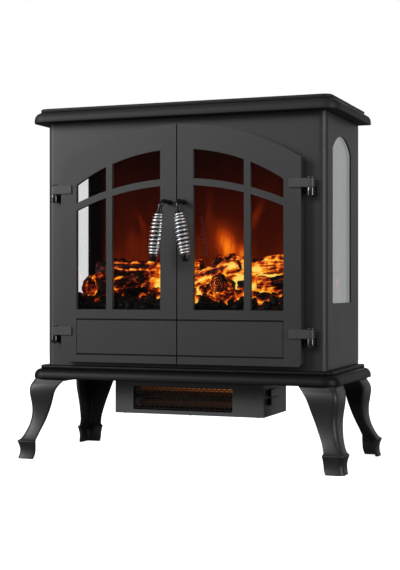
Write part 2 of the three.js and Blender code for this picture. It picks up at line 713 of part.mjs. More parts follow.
KNOB.xs.forEach((x, i) => {
  const skirt = bar("y", KNOB.radius, -4, -GAP, x, CONTROLS_Z, 24);
  const grip = bar("y", KNOB.radius - 3, -11, -3, x, CONTROLS_Z, 24);
  const reach = KNOB.radius - 1;
  const ridge = block(x - 1.2, x + 1.2, -12.2, -6, CONTROLS_Z - reach, CONTROLS_Z + reach);
  const shaft = bar("y", KNOB.shaft, -4, KNOB.shaftEnd, x, CONTROLS_Z, 12);
  piece(`${KNOB.names[i]}_knob`, skirt.add(grip).add(ridge).add(shaft), PLASTIC);
});

// ---------- heater ----------
const FAN = { y: 118, z: 112, radius: 22, left: -100, right: 60, blades: 14, shaft: 2.5 };
const SCOOP = { mouth: 60, tail: 146, proud: 6, height: 12, levels: [101, 116], wall: 1.2 };

// A pressed louvre on the heater's side, open towards the front.
function scoop(low) {
  const w = HEATER.halfWidth;
  const s = SCOOP;
  const wedge = outline([
    [w - 1, s.mouth],
    [w + s.proud, s.mouth],
    [w - 1, s.tail],
  ]);
  return upright(wedge, low, low + s.height);
}

function scoopHollow(low) {
  const w = HEATER.halfWidth;
  const s = SCOOP;
  const wedge = outline([
    [w - 5, s.mouth - 1],
    [w + s.proud - s.wall, s.mouth - 1],
    [w + s.proud - s.wall, s.mouth + 1],
    [w, s.tail - 30],
    [w - 5, s.tail - 30],
  ]);
  return upright(wedge, low + s.wall, low + s.height - s.wall);
}

// A rectangle with rounded corners.
function roundedShape(x0, x1, z0, z1, r) {
  const shape = new THREE.Shape();
  shape.absarc(x1 - r, z0 + r, r, -Math.PI / 2, 0, false);
  shape.absarc(x1 - r, z1 - r, r, 0, Math.PI / 2, false);
  shape.absarc(x0 + r, z1 - r, r, Math.PI / 2, Math.PI, false);
  shape.absarc(x0 + r, z0 + r, r, Math.PI, 1.5 * Math.PI, false);
  return shape;
}

function heaterHousing() {
  const { halfWidth: w, front, rear, low, high } = HEATER;
  let box = block(-w, w, front, rear, low, high);
  const cheeks = (make) => SCOOP.levels.flatMap((z) => [make(z), make(z).mirror([1, 0, 0])]);
  const boss = -w + SHEET;
  for (const wedge of cheeks(scoop)) box = box.add(wedge);
  const inside = block(-w + SHEET, w - SHEET, front + SHEET, rear - SHEET, low + SHEET, high + 5);
  box = box.subtract(inside);
  for (const hollow of cheeks(scoopHollow)) box = box.subtract(hollow);
  box = box.add(bar("x", 6, boss - 1, boss + 11, FAN.y, FAN.z));
  box = box.subtract(bar("x", FAN.shaft + GAP, boss + 3, boss + 20, FAN.y, FAN.z, 12));
  const outlet = roundedShape(VENT.left, VENT.right, VENT.low, VENT.high, VENT.corner);
  return box.subtract(facing(outlet, front - 5, front + 5, 4));
}

piece("heater_housing", heaterHousing(), STEEL_BLACK);

function heaterGrille() {
  const front = HEATER.front + SHEET + GAP;
  const left = VENT.left - 4;
  const right = VENT.right + 4;
  let grille = block(left, right, front, front + 1.2, VENT.low - 3, VENT.high + 4);
  const columns = 12;
  const rows = 4;
  const pitchX = (VENT.right - VENT.left) / columns;
  const pitchZ = (VENT.high - VENT.low) / rows;
  const wire = 2;
  for (let i = 0; i < columns; i++) {
    for (let j = 0; j < rows; j++) {
      const x = VENT.left + i * pitchX;
      const z = VENT.low + j * pitchZ;
      const [x0, x1] = [x + wire / 2, x + pitchX - wire / 2];
      const [z0, z1] = [z + wire / 2, z + pitchZ - wire / 2];
      grille = grille.subtract(block(x0, x1, front - 5, front + 5, z0, z1));
    }
  }
  return grille;
}

piece("heater_grille", heaterGrille(), STEEL_BLACK);

const TUBE = { y: 62, radius: 5.5, cap: 7.5, left: -112, right: 92, levels: [121, 99] };
const TUBE_NAMES = ["upper", "lower"];
TUBE.levels.forEach((z, i) => {
  const tube = bar("x", TUBE.radius, TUBE.left, TUBE.right, TUBE.y, z, 14);
  const caps = [TUBE.left - 6, TUBE.right - 10].map((x) => bar("x", TUBE.cap, x, x + 16, TUBE.y, z, 14));
  piece(`${TUBE_NAMES[i]}_quartz_tube`, tube.add(caps[0]).add(caps[1]), QUARTZ);
});

// The polished trough behind the tubes, with an end plate that each pair of tube caps sits in.
function reflector() {
  const plate = 1.2;
  const left = TUBE.left + 2;
  const right = TUBE.right - 2;
  const sheet = outline([
    [52, 136],
    [66, 134],
    [76, 122],
    [78, 110],
    [76, 98],
    [66, 88],
    [66, 87],
    [77, 97.5],
    [79.2, 110],
    [77, 122.6],
    [66.5, 135.2],
    [52, 137.2],
  ]);
  let trough = across(sheet, left, right);
  for (const x of [left, right - plate]) trough = trough.add(block(x, x + plate, 50, 76, 86, 136));
  for (const z of TUBE.levels) {
    trough = trough.subtract(bar("x", TUBE.cap + GAP, left - 9, right + 9, TUBE.y, z, 14));
  }
  return trough;
}

piece("heater_reflector", reflector(), CHROME);

function heaterFan() {
  const ring = [];
  for (let i = 0; i < FAN.blades; i++) {
    const a = (i / FAN.blades) * Math.PI * 2;
    const step = (Math.PI * 2) / FAN.blades;
    const at = (r, angle) => [FAN.y + r * Math.cos(angle), FAN.z + r * Math.sin(angle)];
    ring.push(at(FAN.radius, a), at(FAN.radius, a + step * 0.25));
    ring.push(at(FAN.radius - 7, a + step * 0.5), at(FAN.radius - 7, a + step * 0.95));
  }
  const drum = across(outline(ring), FAN.left, FAN.right);
  const hollow = bar("x", FAN.radius - 11, FAN.left + 3, FAN.right + 5, FAN.y, FAN.z, 16);
  const bearing = -HEATER.halfWidth + SHEET + 4;
  const shaft = bar("x", FAN.shaft, bearing, FAN.right + 10, FAN.y, FAN.z, 10);
  return drum.subtract(hollow).add(shaft);
}

piece("heater_fan", heaterFan(), ZINC);

function fanMotor() {
  const can = bar("x", 18, FAN.right + 4, FAN.right + 40, FAN.y, FAN.z, 20);
  const foot = block(FAN.right + 12, FAN.right + 32, FAN.y - 14, FAN.y + 14, HEATER.low + SHEET + GAP, FAN.z);
  return can.add(foot).subtract(bar("x", 3, 0, FAN.right + 14, FAN.y, FAN.z, 12));
}

piece("heater_fan_motor", fanMotor(), ZINC);

export default root;
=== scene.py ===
import json
import math
import random

import bmesh
import bpy
from mathutils import Matrix, Vector, noise

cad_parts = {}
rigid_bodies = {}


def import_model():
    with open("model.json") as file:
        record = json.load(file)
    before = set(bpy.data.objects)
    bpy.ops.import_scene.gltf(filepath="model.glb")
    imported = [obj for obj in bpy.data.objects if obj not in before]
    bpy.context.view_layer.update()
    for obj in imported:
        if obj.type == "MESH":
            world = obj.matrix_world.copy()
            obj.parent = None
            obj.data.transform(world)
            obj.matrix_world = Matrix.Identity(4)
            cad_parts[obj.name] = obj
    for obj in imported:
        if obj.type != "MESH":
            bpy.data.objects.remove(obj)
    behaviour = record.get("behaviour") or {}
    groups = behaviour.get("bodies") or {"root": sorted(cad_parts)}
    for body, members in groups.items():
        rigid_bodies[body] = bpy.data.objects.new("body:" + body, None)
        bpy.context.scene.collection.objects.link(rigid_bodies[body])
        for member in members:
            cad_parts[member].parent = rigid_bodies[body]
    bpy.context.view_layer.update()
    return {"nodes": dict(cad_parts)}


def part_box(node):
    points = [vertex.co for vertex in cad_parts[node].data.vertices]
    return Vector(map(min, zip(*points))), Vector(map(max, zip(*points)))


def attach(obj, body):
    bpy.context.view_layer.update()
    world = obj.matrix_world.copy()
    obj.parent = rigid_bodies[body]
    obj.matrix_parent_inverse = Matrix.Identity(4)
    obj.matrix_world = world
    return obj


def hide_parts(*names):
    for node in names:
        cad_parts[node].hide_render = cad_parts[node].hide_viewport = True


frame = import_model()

# Everything below is drawn in millimetres from the middle of the casing's front face at floor level.
mm = 0.001
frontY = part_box("front_panel")[0].y
sides = {"left": -1, "right": 1}


def at(x, y, z):
    return Vector((x * mm, frontY + y * mm, z * mm))


def drawn(point):
    return Vector((point.x / mm, (point.y - frontY) / mm, point.z / mm))


def cadSpan(node):
    low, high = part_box(node)
    return drawn(low), drawn(high)


def metres(**lengths):
    return {key: float(length) * mm for key, length in lengths.items()}


def linked(name, data):
    made = bpy.data.objects.new(name, data)
    bpy.context.collection.objects.link(made)
    return made


# camera and light
view = {"eye": (804.8, -2018.2, 310.1), "turn": 20.85, "lens": 79.15, "far": 50}
camera = linked("camera", bpy.data.cameras.new("camera"))
camera.location = at(*view["eye"])
camera.rotation_euler = (math.radians(90), 0, math.radians(view["turn"]))
camera.data.lens = view["lens"]
camera.data.clip_end = view["far"]
bpy.context.scene.camera = camera
bpy.context.scene.view_settings.view_transform = "Standard"

studio = {
    "key": {"at": (-3300, -2700, 2050), "size": (2.2, 2.2), "power": 145},
    "front": {"at": (-300, -2900, 1950), "size": (3.6, 0.9), "power": 22},
    "side": {"at": (2500, -650, 800), "size": (0.8, 1.8), "power": 30},
    "top": {"at": (-100, -500, 2700), "size": (2.0, 2.0), "power": 2.2},
    "window": {"at": (1010, 3010, 570), "size": (0.8, 1.7), "power": 2.5},
    "low": {"at": (-2700, -1900, 260), "size": (1.0, 0.6), "power": 8},
    "rear": {"at": (-700, 2600, 1900), "size": (1.8, 1.8), "power": 20},
}
room = {"aim": (0, 100, 330), "seen": 1.0, "ambient": 0.07}


def softbox(name, spec):
    data = bpy.data.lights.new(name, "AREA")
    data.energy = spec["power"]
    data.shape = "RECTANGLE"
    data.size, data.size_y = spec["size"]
    lamp = linked(name, data)
    lamp.location = at(*spec["at"])
    lamp.visible_camera = False
    lamp.rotation_euler = (at(*room["aim"]) - lamp.location).to_track_quat("-Z", "Y").to_euler()


for lampName, lampSpec in studio.items():
    softbox(lampName, lampSpec)
world = bpy.data.worlds.new("studio")
world.use_nodes = True
backdrop = world.node_tree.nodes["Background"]
backdrop.inputs["Color"].default_value = (1.0, 1.0, 1.0, 1)
rays = world.node_tree.nodes.new("ShaderNodeLightPath")
level = world.node_tree.nodes.new("ShaderNodeMapRange")
level.inputs["To Min"].default_value = room["ambient"]
level.inputs["To Max"].default_value = room["seen"]
world.node_tree.links.new(rays.outputs["Is Camera Ray"], level.inputs["Value"])
world.node_tree.links.new(level.outputs["Result"], backdrop.inputs["Strength"])
bpy.context.scene.world = world
print("stage: camera and light")


class Wire:
    # one output socket; Python's own signs between wires and numbers add Math nodes
    def __init__(self, tree, socket):
        self.tree = tree
        self.socket = socket

    def __add__(self, other):
        return self.tree.maths("ADD", self, other)

    def __radd__(self, other):
        return self.tree.maths("ADD", other, self)

    def __sub__(self, other):
        return self.tree.maths("SUBTRACT", self, other)

    def __rsub__(self, other):
        return self.tree.maths("SUBTRACT", other, self)

    def __mul__(self, other):
        return self.tree.maths("MULTIPLY", self, other)

    def __rmul__(self, other):
        return self.tree.maths("MULTIPLY", other, self)

    def __truediv__(self, other):
        return self.tree.maths("DIVIDE", self, other)

    def __pow__(self, other):
        return self.tree.maths("POWER", self, other)

    def __rpow__(self, other):
        return self.tree.maths("POWER", other, self)


class Tree:
    def __init__(self, tree):
        self.tree = tree

    def node(self, kind, settings=None, inputs=None, outlet=0):
        made = self.tree.nodes.new(kind)
        settings = dict(settings or {})
        stops = settings.pop("stops", ())
        for key, value in settings.items():
            setattr(made, key, value)
        for i, (place, colour) in enumerate(stops):
            elements = made.color_ramp.elements
            stop = elements[i] if i < 2 else elements.new(place)
            stop.position = place
            stop.color = (*colour, 1)
        pairs = enumerate(inputs) if isinstance(inputs, list) else (inputs or {}).items()
        for key, value in pairs:
            self.plug(made.inputs[key], value)
        return Wire(self, made.outputs[outlet]) if made.outputs else None

    def plug(self, socket, value):
        if isinstance(value, Wire):
            self.tree.links.new(value.socket, socket)
        elif isinstance(value, tuple) and len(value) == 3 and len(socket.default_value) == 4:
            socket.default_value = (*value, 1)
        else:
            socket.default_value = value

    def maths(self, operation, *inputs):
        return self.node("ShaderNodeMath", {"operation": operation}, list(inputs))


class Paint(Tree):
    def __init__(self, name):
        self.material = bpy.data.materials.new(name)
        self.material.use_nodes = True
        super().__init__(self.material.node_tree)
        self.tree.nodes.clear()
        self.place = self.node("ShaderNodeTexCoord", outlet=3)

    def axes(self):
        split = self.node("ShaderNodeSeparateXYZ", inputs=[self.place]).socket.node
        return [Wire(self, socket) for socket in split.outputs]

    def stretched(self, scale):
        return self.node("ShaderNodeMapping", inputs={"Vector": self.place, "Scale": scale})

    def noise(self, scale, detail=3.0, rough=0.5, vector=None, distortion=0.0):
        sizes = {"Scale": scale, "Detail": detail, "Roughness": rough, "Distortion": distortion}
        return self.node("ShaderNodeTexNoise", inputs={"Vector": vector or self.place, **sizes})

    def ramp(self, factor, stops):
        return self.node("ShaderNodeValToRGB", {"stops": stops}, [factor])

    def blend(self, factor, first, second):
        return self.node("ShaderNodeMix", {"data_type": "RGBA"}, {0: factor, 6: first, 7: second}, outlet=2)

    def shades(self, factor, colour, most):
        # from the colour itself to the same colour so many times as bright
        return self.blend(factor, colour, tuple(c * most for c in colour))

    def bump(self, height, distance, strength=0.5):
        sizes = {"Distance": distance, "Strength": strength}
        return self.node("ShaderNodeBump", inputs={"Height": height, **sizes})

    def principled(self, **inputs):
        spaced = {key.replace("_", " "): value for key, value in inputs.items()}
        return self.node("ShaderNodeBsdfPrincipled", inputs=spaced)

    def finish(self, surface):
        self.node("ShaderNodeOutputMaterial", inputs={"Surface": surface})
        return self.material

    def coat(self, **inputs):
        return self.finish(self.principled(**inputs))


def powderCoat(name, colour, roughness, paintedShade=None):
    # fine orange peel; the optional function says from 0 to 1 where painted shade makes the coat dark and dull
    paint = Paint(name)
    cloud = paint.noise(9, 4)
    speck = paint.noise(1400, 2)
    tint = paint.shades(cloud * 0.6 + speck * 0.4, colour, 1.25)
    rough = roughness + 0.10 * (cloud - 0.5)
    if paintedShade:
        # painted shade: the coat goes black and duller where the given mask says
        dark = paintedShade(paint)
        tint = paint.blend(dark * 0.9, tint, (0.0, 0.0, 0.0))
        rough = rough + 0.4 * dark
    peel = paint.noise(620, 2, 0.6) + 0.5 * speck
    return paint.coat(Base_Color=tint, Roughness=rough, Normal=paint.bump(peel, 0.00012))


pressed = {"lines": (188.1, 249.5), "half": 1.7, "depth": 2.2, "reach": 192.5}


def pressedLines(paint):
    # the bottom of the two lines pressed across the doors' lower panel, which gets painted shade
    x, y, z = [axis * (1 / mm) for axis in paint.axes()]
    bottom = cadSpan("left_door_frame")[0].y + pressed["depth"] / 2 + frontY / mm
    within = paint.maths("LESS_THAN", paint.maths("ABSOLUTE", x), pressed["reach"])
    sunk = paint.maths("GREATER_THAN", y, bottom) * within
    line = 0.0
    for height in pressed["lines"]:
        line = paint.maths("LESS_THAN", paint.maths("ABSOLUTE", z - height), pressed["half"]) + line
    return line * sunk


def enamel(name, colour, roughness, coat=0.0, shine=0.5):
    paint = Paint(name)
    dust = paint.noise(320, 3, 0.7)
    return paint.coat(
        Base_Color=paint.shades(paint.noise(14, 4), colour, 1.35),
        Roughness=roughness + 0.12 * (dust - 0.5),
        Normal=paint.bump(paint.noise(160, 2), 0.00008),
        Specular_IOR_Level=shine,
        Coat_Weight=coat,
        Coat_Roughness=0.15,
    )


def plated(name, colour, roughness, brushed=False):
    paint = Paint(name)
    scratch = paint.noise(500, 3, 0.7, paint.stretched((0.06, 1, 1)) if brushed else None)
    return paint.coat(
        Base_Color=paint.shades(paint.noise(38, 4), colour, 0.86),
        Metallic=1.0,
        Roughness=roughness + 0.10 * scratch,
        Normal=paint.bump(scratch, 0.00003, 0.4),
    )


def moulded(name, colour, roughness):
    paint = Paint(name)
    cloud = paint.noise(30, 2)
    grain = paint.bump(paint.noise(1100, 2), 0.00006, 0.6)
    tint = paint.shades(cloud, colour, 1.4)
    return paint.coat(Base_Color=tint, Roughness=roughness + 0.1 * cloud, Normal=grain)


def pane(name, shine, tint, dust):
    # clear, with a mirror that grows towards the edge-on view and a little dust
    paint = Paint(name)
    film = paint.noise(26, 5, 0.6)
    clear = paint.node("ShaderNodeBsdfTransparent", inputs={"Color": tint})
    gloss = paint.principled(Base_Color=(0.8, 0.82, 0.83), Metallic=1.0, Roughness=0.03 + 0.03 * film)
    turned = paint.node("ShaderNodeLayerWeight", inputs={"Blend": 0.5}, outlet=1)
    mirror = 0.04 + 0.96 * turned**5
    mixed = {0: mirror * shine + film * dust, 1: clear, 2: gloss}
    return paint.finish(paint.node("ShaderNodeMixShader", inputs=mixed))


paints = {
    # painted shade in the bottoms of the door's pressed lines
    "door": powderCoat("door powder coat", (0.027, 0.027, 0.028), 0.46, pressedLines),
    "casing": powderCoat("casing powder coat", (0.027, 0.027, 0.028), 0.46),
    "heater": powderCoat("heater powder coat", (0.074, 0.074, 0.076), 0.50),
    "moulding": enamel("moulding enamel", (0.017, 0.017, 0.018), 0.54, 0.0, 0.28),
    # a darker, less shiny copy of the moulding enamel: painted shade on the base plate
    "base": enamel("base enamel", (0.004, 0.004, 0.004), 0.48, 0.0, 0.22),
    "leg": enamel("leg enamel", (0.018, 0.018, 0.019), 0.46, 0.05),
    "hinge": enamel("hinge enamel", (0.010, 0.010, 0.011), 0.22, 0.8),
    "strap": powderCoat("strap powder coat", (0.050, 0.050, 0.053), 0.42),
    "handle": enamel("handle black", (0.004, 0.004, 0.004), 0.26, 0.25, 0.35),
    "chrome": plated("grip chrome", (0.92, 0.93, 0.95), 0.30),
    "zinc": plated("bright zinc", (0.58, 0.59, 0.61), 0.25, True),
    "polished": plated("polished steel", (0.50, 0.49, 0.48), 0.16, True),
    "mesh": powderCoat("outlet mesh black", (0.010, 0.008, 0.006), 0.42),
    "reflector": plated("smoked reflector", (0.16, 0.10, 0.06), 0.22, True),
    "liner": powderCoat("firebox black", (0.004, 0.004, 0.004), 0.75),
    "plastic": moulded("control plastic", (0.010, 0.010, 0.011), 0.38),
    "doorGlass": pane("door glass", 0.4, (0.99, 0.99, 0.99), 0.0),
    "sideGlass": pane("side glass", 1.55, (0.985, 0.99, 0.99), 0.01),
}
print("stage: paints")


# mesh helpers
def objectFrom(name, mesh, paint, smooth=True, crease=35):
    for polygon in mesh.polygons:
        polygon.use_smooth = smooth
    made = linked(name, mesh)
    if paint:
        mesh.materials.clear()
        mesh.materials.append(paints[paint])
    if smooth:
        mesh.set_sharp_from_angle(angle=math.radians(crease))
    return made


def meshFrom(name, bm):
    mesh = bpy.data.meshes.new(name)
    bm.to_mesh(mesh)
    bm.free()
    return mesh


def fromBmesh(name, bm, paint, crease=35):
    bmesh.ops.remove_doubles(bm, verts=bm.verts, dist=0.000002)
    bmesh.ops.recalc_face_normals(bm, faces=bm.faces)
    return objectFrom(name, meshFrom(name, bm), paint, crease=crease)


def placed(piece, body, replaced=()):
    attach(piece, body)
    if replaced:
        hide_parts(*replaced)
    return piece


def arc(x, y, radius, start, end, steps, tall=None):
    # points from one angle to the other, both included; tall makes it an ellipse
    turns = [math.radians(start + (end - start) * i / steps) for i in range(steps + 1)]
    return [(x + radius * math.cos(a), y + (tall or radius) * math.sin(a)) for a in turns]


def bridge(bm, low, high):
    # a band of faces between two closed rings
    for i in range(len(low)):
        j = (i + 1) % len(low)
        bm.faces.new((low[i], low[j], high[j], high[i]))


def ringSkin(bm, rings):
    # joins rings of points in order, and closes the two ends
    levels = [[bm.verts.new(p) for p in ring] for ring in rings]
    for low, high in zip(levels, levels[1:]):
        bridge(bm, low, high)
    bm.faces.new(list(reversed(levels[0])))
    bm.faces.new(levels[-1])


def turned(bm, profile, centre, axis=(0, 0, 1), steps=48):
    # a lathe: the profile is (distance along the axis, radius), starting and ending on the axis
    spin = Vector((0, 0, 1)).rotation_difference(Vector(axis)).to_matrix()
    rings = []
    for along, radius in profile:
        ring = []
        for i in range(steps if radius > 1e-9 else 1):
            angle = 2 * math.pi * i / steps
            local = Vector((radius * math.cos(angle), radius * math.sin(angle), along)) * mm
            ring.append(bm.verts.new(centre + spin @ local))
        rings.append(ring)
    for low, high in zip(rings, rings[1:]):
        for i in range(steps):
            j = (i + 1) % steps
            corners = [low[i % len(low)], low[j % len(low)], high[j % len(high)], high[i % len(high)]]
            distinct = list(dict.fromkeys(corners))
            if len(distinct) > 2:
                bm.faces.new(distinct)


def addBlock(bm, x0, x1, y0, y1, z0, z1):
    made = bmesh.ops.create_cube(bm, size=1)
    low, high = at(x0, y0, z0), at(x1, y1, z1)
    for vert in made["verts"]:
        vert.co = Vector(((low[k] + high[k]) / 2 + vert.co[k] * (high[k] - low[k]) for k in range(3)))


def eased(piece, width, angle=35):
    bevel = piece.modifiers.new("edges", "BEVEL")
    bevel.width = width * mm
    bevel.segments = 2
    bevel.limit_method = "ANGLE"
    bevel.angle_limit = math.radians(angle)
    bevel.harden_normals = True


def sheetMetal(paint, width, *nodes):
    # sheets that keep their shape: the facets are welded, made flat again and given a folded edge
    for node in nodes:
        piece = frame["nodes"][node]
        piece.data.materials.clear()
        piece.data.materials.append(paints[paint])
        for polygon in piece.data.polygons:
            polygon.use_smooth = True
        loose = piece.data.attributes.get("custom_normal")
        if loose:
            piece.data.attributes.remove(loose)
        weld = piece.modifiers.new("weld", "WELD")
        weld.merge_threshold = 0.00001
        flat = piece.modifiers.new("flat", "DECIMATE")
        flat.decimate_type = "DISSOLVE"
        flat.angle_limit = math.radians(0.5)
        eased(piece, width)


# top and base plates: an ogee edge on three sides
plates = {
    "height": 26,  # of the plate that the sweep is drawn on
    "sweep": (4.2, 18.4),  # from the rounded edge up to the step
    "overhang": 23.5,
    "step": 12.2,
    "crown": 5.4,
    "bead": 3.2,
    "beadBack": 0.6,
    "cove": 1.4,
    "coveRise": 1.2,
    "corner": 4,
    "arris": 1.6,
    "turns": 14,
}


def ogee(height):
    # how far the edge stands out from the casing, and its height above the underside
    p = plates
    low, high = (z * height / p["height"] for z in p["sweep"])
    points = arc(p["overhang"] - p["arris"], p["arris"], p["arris"], -90, 0, 4)
    points += arc(p["step"], low, p["overhang"] - p["step"], 0, 90, 10, tall=high - low)
    for i in range(1, 5):
        a = math.radians(90 * i / 4)
        points.append((p["step"] - p["cove"] * math.cos(a), high + p["coveRise"] * i / 4))
    points += arc(p["step"] - p["beadBack"] - p["bead"], height - p["bead"], p["bead"], -35, 90, 7)
    return points + [(p["crown"], height)]


def plateRing(offset, z, halfWidth, depth):
    x, y, r = halfWidth + offset, -offset, plates["corner"] + offset
    right = arc(x - r, y + r, r, -90, 0, plates["turns"])
    left = arc(r - x, y + r, r, 180, 270, plates["turns"])
    return [at(a, b, z) for a, b in right + [(x, depth), (-x, depth)] + left]


def makePlate(node, paint):
    low, high = cadSpan(node)
    halfWidth = high.x - plates["overhang"]
    bm = bmesh.new()
    edge = ogee(high.z - low.z)
    ringSkin(bm, [plateRing(offset, low.z + rise, halfWidth, high.y) for offset, rise in edge])
    piece = fromBmesh(node + "_shell", bm, paint, crease=50)
    return placed(piece, "stove", [node])


makePlate("top_plate", "moulding")
makePlate("base_plate", "base")
print("stage: plates")

# casing and doors
sheetMetal("casing", 0.35, "front_panel", "left_side_panel", "right_side_panel", "back_panel")
for side in sides:
    sheetMetal("sideGlass", 0.3, f"{side}_side_glass")
    sheetMetal("doorGlass", 0.3, f"{side}_door_glass")
    sheetMetal("door", 0.3, f"{side}_door_frame")
print("stage: casing")

# legs: two curved plates that meet at a rounded corner, on a boot
leg = {
    "wall": 6.0,
    "corner": 10.0,
    "soft": 1.8,
    "inner": 1.0,
    "fillet": 5.0,
    "inset": 22,  # of the rear legs from the plate's back edge
    "flange": (40, 14, 4),  # reach inwards, reach outwards, thickness
    "rows": [  # height, how far the corner stands out, length of the front arm and of the side arm
        (0, 40.3, 31.5, 31.5),
        (2, 40.0, 32.0, 32.0),
        (9, 38.3, 32.5, 32.5),
        (17, 38.0, 33.0, 33.0),
        (25, 39.6, 35.5, 35.5),
        (29.5, 41.2, 37.6, 37.6),
        (31.5, 41.3, 37.8, 37.8),
        (32.8, 39.6, 35.6, 35.8),
        (34.5, 37.3, 32.6, 34.0),
        (40, 33.8, 30.6, 34.4),
        (48, 30.0, 29.4, 37.0),
        (58, 26.1, 29.6, 42.0),
        (70, 23.2, 31.8, 47.5),
        (82, 22.0, 35.2, 51.5),
        (94, 22.3, 40.2, 55.5),
        (106, 23.9, 46.0, 58.5),
        (116, 25.2, 50.6, 60.0),
        (124, 25.2, 54.2, 60.6),
        (131, 23.6, 57.4, 61.2),
        (137, 20.6, 59.6, 61.8),
        (142, 18.2, 61.0, 62.0),
    ],
}


def smoothRows(rows, steps=3):
    # a Catmull-Rom curve through each column
    fine = []
    for i in range(len(rows) - 1):
        before, a, b, after = rows[max(i - 1, 0)], rows[i], rows[i + 1], rows[min(i + 2, len(rows) - 1)]
        for k in range(steps):
            t = k / steps
            point = []
            for p0, p1, p2, p3 in zip(before, a, b, after):
                part = 2 * p1 + (p2 - p0) * t + (2 * p0 - 5 * p1 + 4 * p2 - p3) * t * t
                point.append(0.5 * (part + (3 * p1 - p0 - 3 * p2 + p3) * t**3))
            fine.append(tuple(point))
    return fine + [rows[-1]]


def legSection(out, arm, sideArm, halfWidth):
    x, y = halfWidth + out, -out
    corner, wall, soft, inner, fillet = (leg[key] for key in ("corner", "wall", "soft", "inner", "fillet"))
    ring = arc(x - arm + soft, y + soft, soft, 180, 270, 3)
    ring += arc(x - corner, y + corner, corner, -90, 0, 8)
    ring += arc(x - soft, y + sideArm - soft, soft, 0, 90, 3)
    ring += arc(x - wall + inner, y + sideArm - inner, inner, 90, 180, 2)
    ring += arc(x - wall - fillet, y + wall + fillet, fillet, 0, -90, 5)
    return ring + arc(x - arm + inner, y + wall - inner, inner, 90, 180, 2)


def makeLeg(end, side):
    sign = sides[side]
    node = f"{end}_{side}_leg"
    top = cadSpan(node)[1].z
    halfWidth = cadSpan("front_panel")[1].x
    backLine = cadSpan("base_plate")[1].y - leg["inset"]

    def along(y):
        return backLine - y if end == "rear" else y

    rings = []
    for row in smoothRows(leg["rows"]):
        ring = legSection(*row[1:], halfWidth)
        rings.append([at(sign * a, along(b), min(row[0], top)) for a, b in ring])
    bm = bmesh.new()
    ringSkin(bm, rings)
    reach, out, thick = leg["flange"]
    x0, x1 = sorted((sign * (halfWidth - reach), sign * (halfWidth + out)))
    y0, y1 = sorted((along(-out), along(reach)))
    addBlock(bm, x0, x1, y0, y1, top - thick, top)
    return placed(fromBmesh(node + "_casting", bm, "leg", crease=40), "stove", [node])


for end in ("front", "rear"):
    for side in sides:
        makeLeg(end, side)
print("stage: legs")


class Shaper(Tree):
    # a geometry node tree; each named input takes its kind from its usual value
    kinds = {float: "Float", int: "Int", type(None): "Object"}

    def __init__(self, name, **inputs):
        super().__init__(bpy.data.node_groups.new(name, "GeometryNodeTree"))
        face = self.tree.interface
        face.new_socket("Source", in_out="INPUT", socket_type="NodeSocketGeometry")
        face.new_socket("Shape", in_out="OUTPUT", socket_type="NodeSocketGeometry")
        self.ids = {}
        for key, value in inputs.items():
            socket = face.new_socket(key, in_out="INPUT", socket_type="NodeSocket" + self.kinds[type(value)])
            socket.default_value = value
            self.ids[key] = socket.identifier
        entry = self.tree.nodes.new("NodeGroupInput")
        self.given = [Wire(self, socket) for socket in entry.outputs if socket.name]

    def close(self, geometry, paint):
        whole = self.node("GeometryNodeRealizeInstances", inputs=[geometry])
        painted = self.node("GeometryNodeSetMaterial", inputs={"Geometry": whole, "Material": paints[paint]})
        self.node("NodeGroupOutput", inputs={"Shape": painted})
        return self

    def shape(self, name, source=None, paint=None, smooth=True, crease=35, **values):
        # runs the tree on a source mesh and keeps the result as a plain mesh
        carrier = linked(name + "_carrier", source or bpy.data.meshes.new(name + "_empty"))
        modifier = carrier.modifiers.new("tree", "NODES")
        modifier.node_group = self.tree
        for key, value in values.items():
            modifier[self.ids[key]] = value
        solved = carrier.evaluated_get(bpy.context.evaluated_depsgraph_get())
        mesh = bpy.data.meshes.new_from_object(solved)
        carrier.modifiers.remove(modifier)
        bpy.data.objects.remove(carrier)
        mesh.name = name
        return objectFrom(name, mesh, paint, smooth, crease)

    def curved(self, path, section):
        inputs = {"Curve": path, "Profile Curve": section, "Fill Caps": True}
        return self.node("GeometryNodeCurveToMesh", inputs=inputs)

    def vector(self, x, y, z):
        return self.node("ShaderNodeCombineXYZ", inputs=[x, y, z])

    def moved(self, geometry, **inputs):
        return self.node("GeometryNodeSetPosition", inputs={"Geometry": geometry, **inputs})

    def spread(self, points, instance, **inputs):
        inputs = {"Points": points, "Instance": instance, **inputs}
        return self.node("GeometryNodeInstanceOnPoints", inputs=inputs)

    def randomly(self, least, most, seed):
        inputs = {2: least, 3: most, "Seed": seed}
        return self.node("FunctionNodeRandomValue", {"data_type": "FLOAT"}, inputs, outlet=1)


def tubeAlong(bm, points, radius, steps):
    # a round bar through points, carried along without twisting
    rings = []
    side = None
    for i, point in enumerate(points):
        ahead = points[min(i + 1, len(points) - 1)] - points[max(i - 1, 0)]
        ahead.normalize()
        if side is None:
            side = ahead.orthogonal().normalized()
        side = (side - ahead * side.dot(ahead)).normalized()
        other = ahead.cross(side)
        ring = [side * (x * mm) + other * (y * mm) for x, y in arc(0, 0, radius, 0, 360, steps)[:-1]]
        rings.append([point + spoke for spoke in ring])
    ringSkin(bm, rings)


# hinges: a strap on the door turns on a pintle that stands on the casing
hinge = {
    "barrel": 6.5,
    "leaf": 2.0,
    "start": 201.0,
    "gap": 0.4,
    "arris": 0.7,
    "knuckle": 14.0,
    "cap": 2.2,
    "play": 0.3,
    "pin": 2.4,
    "point": ((-1.5, 0), (-1.3, 0.7), (-0.6, 1), (1, 1), (1, 0)),  # height, share of the pin's radius
    "web": 3,
    "foot": 8,
    "footThick": 1.5,
}


def barrel(bm, centre, radius, low, high):
    arris = hinge["arris"]
    rounded = arc(low + arris, radius - arris, arris, 180, 90, 3)
    rounded += arc(high - arris, radius - arris, arris, 90, 0, 3)
    turned(bm, [(low, 0)] + rounded + [(high, 0)], centre)


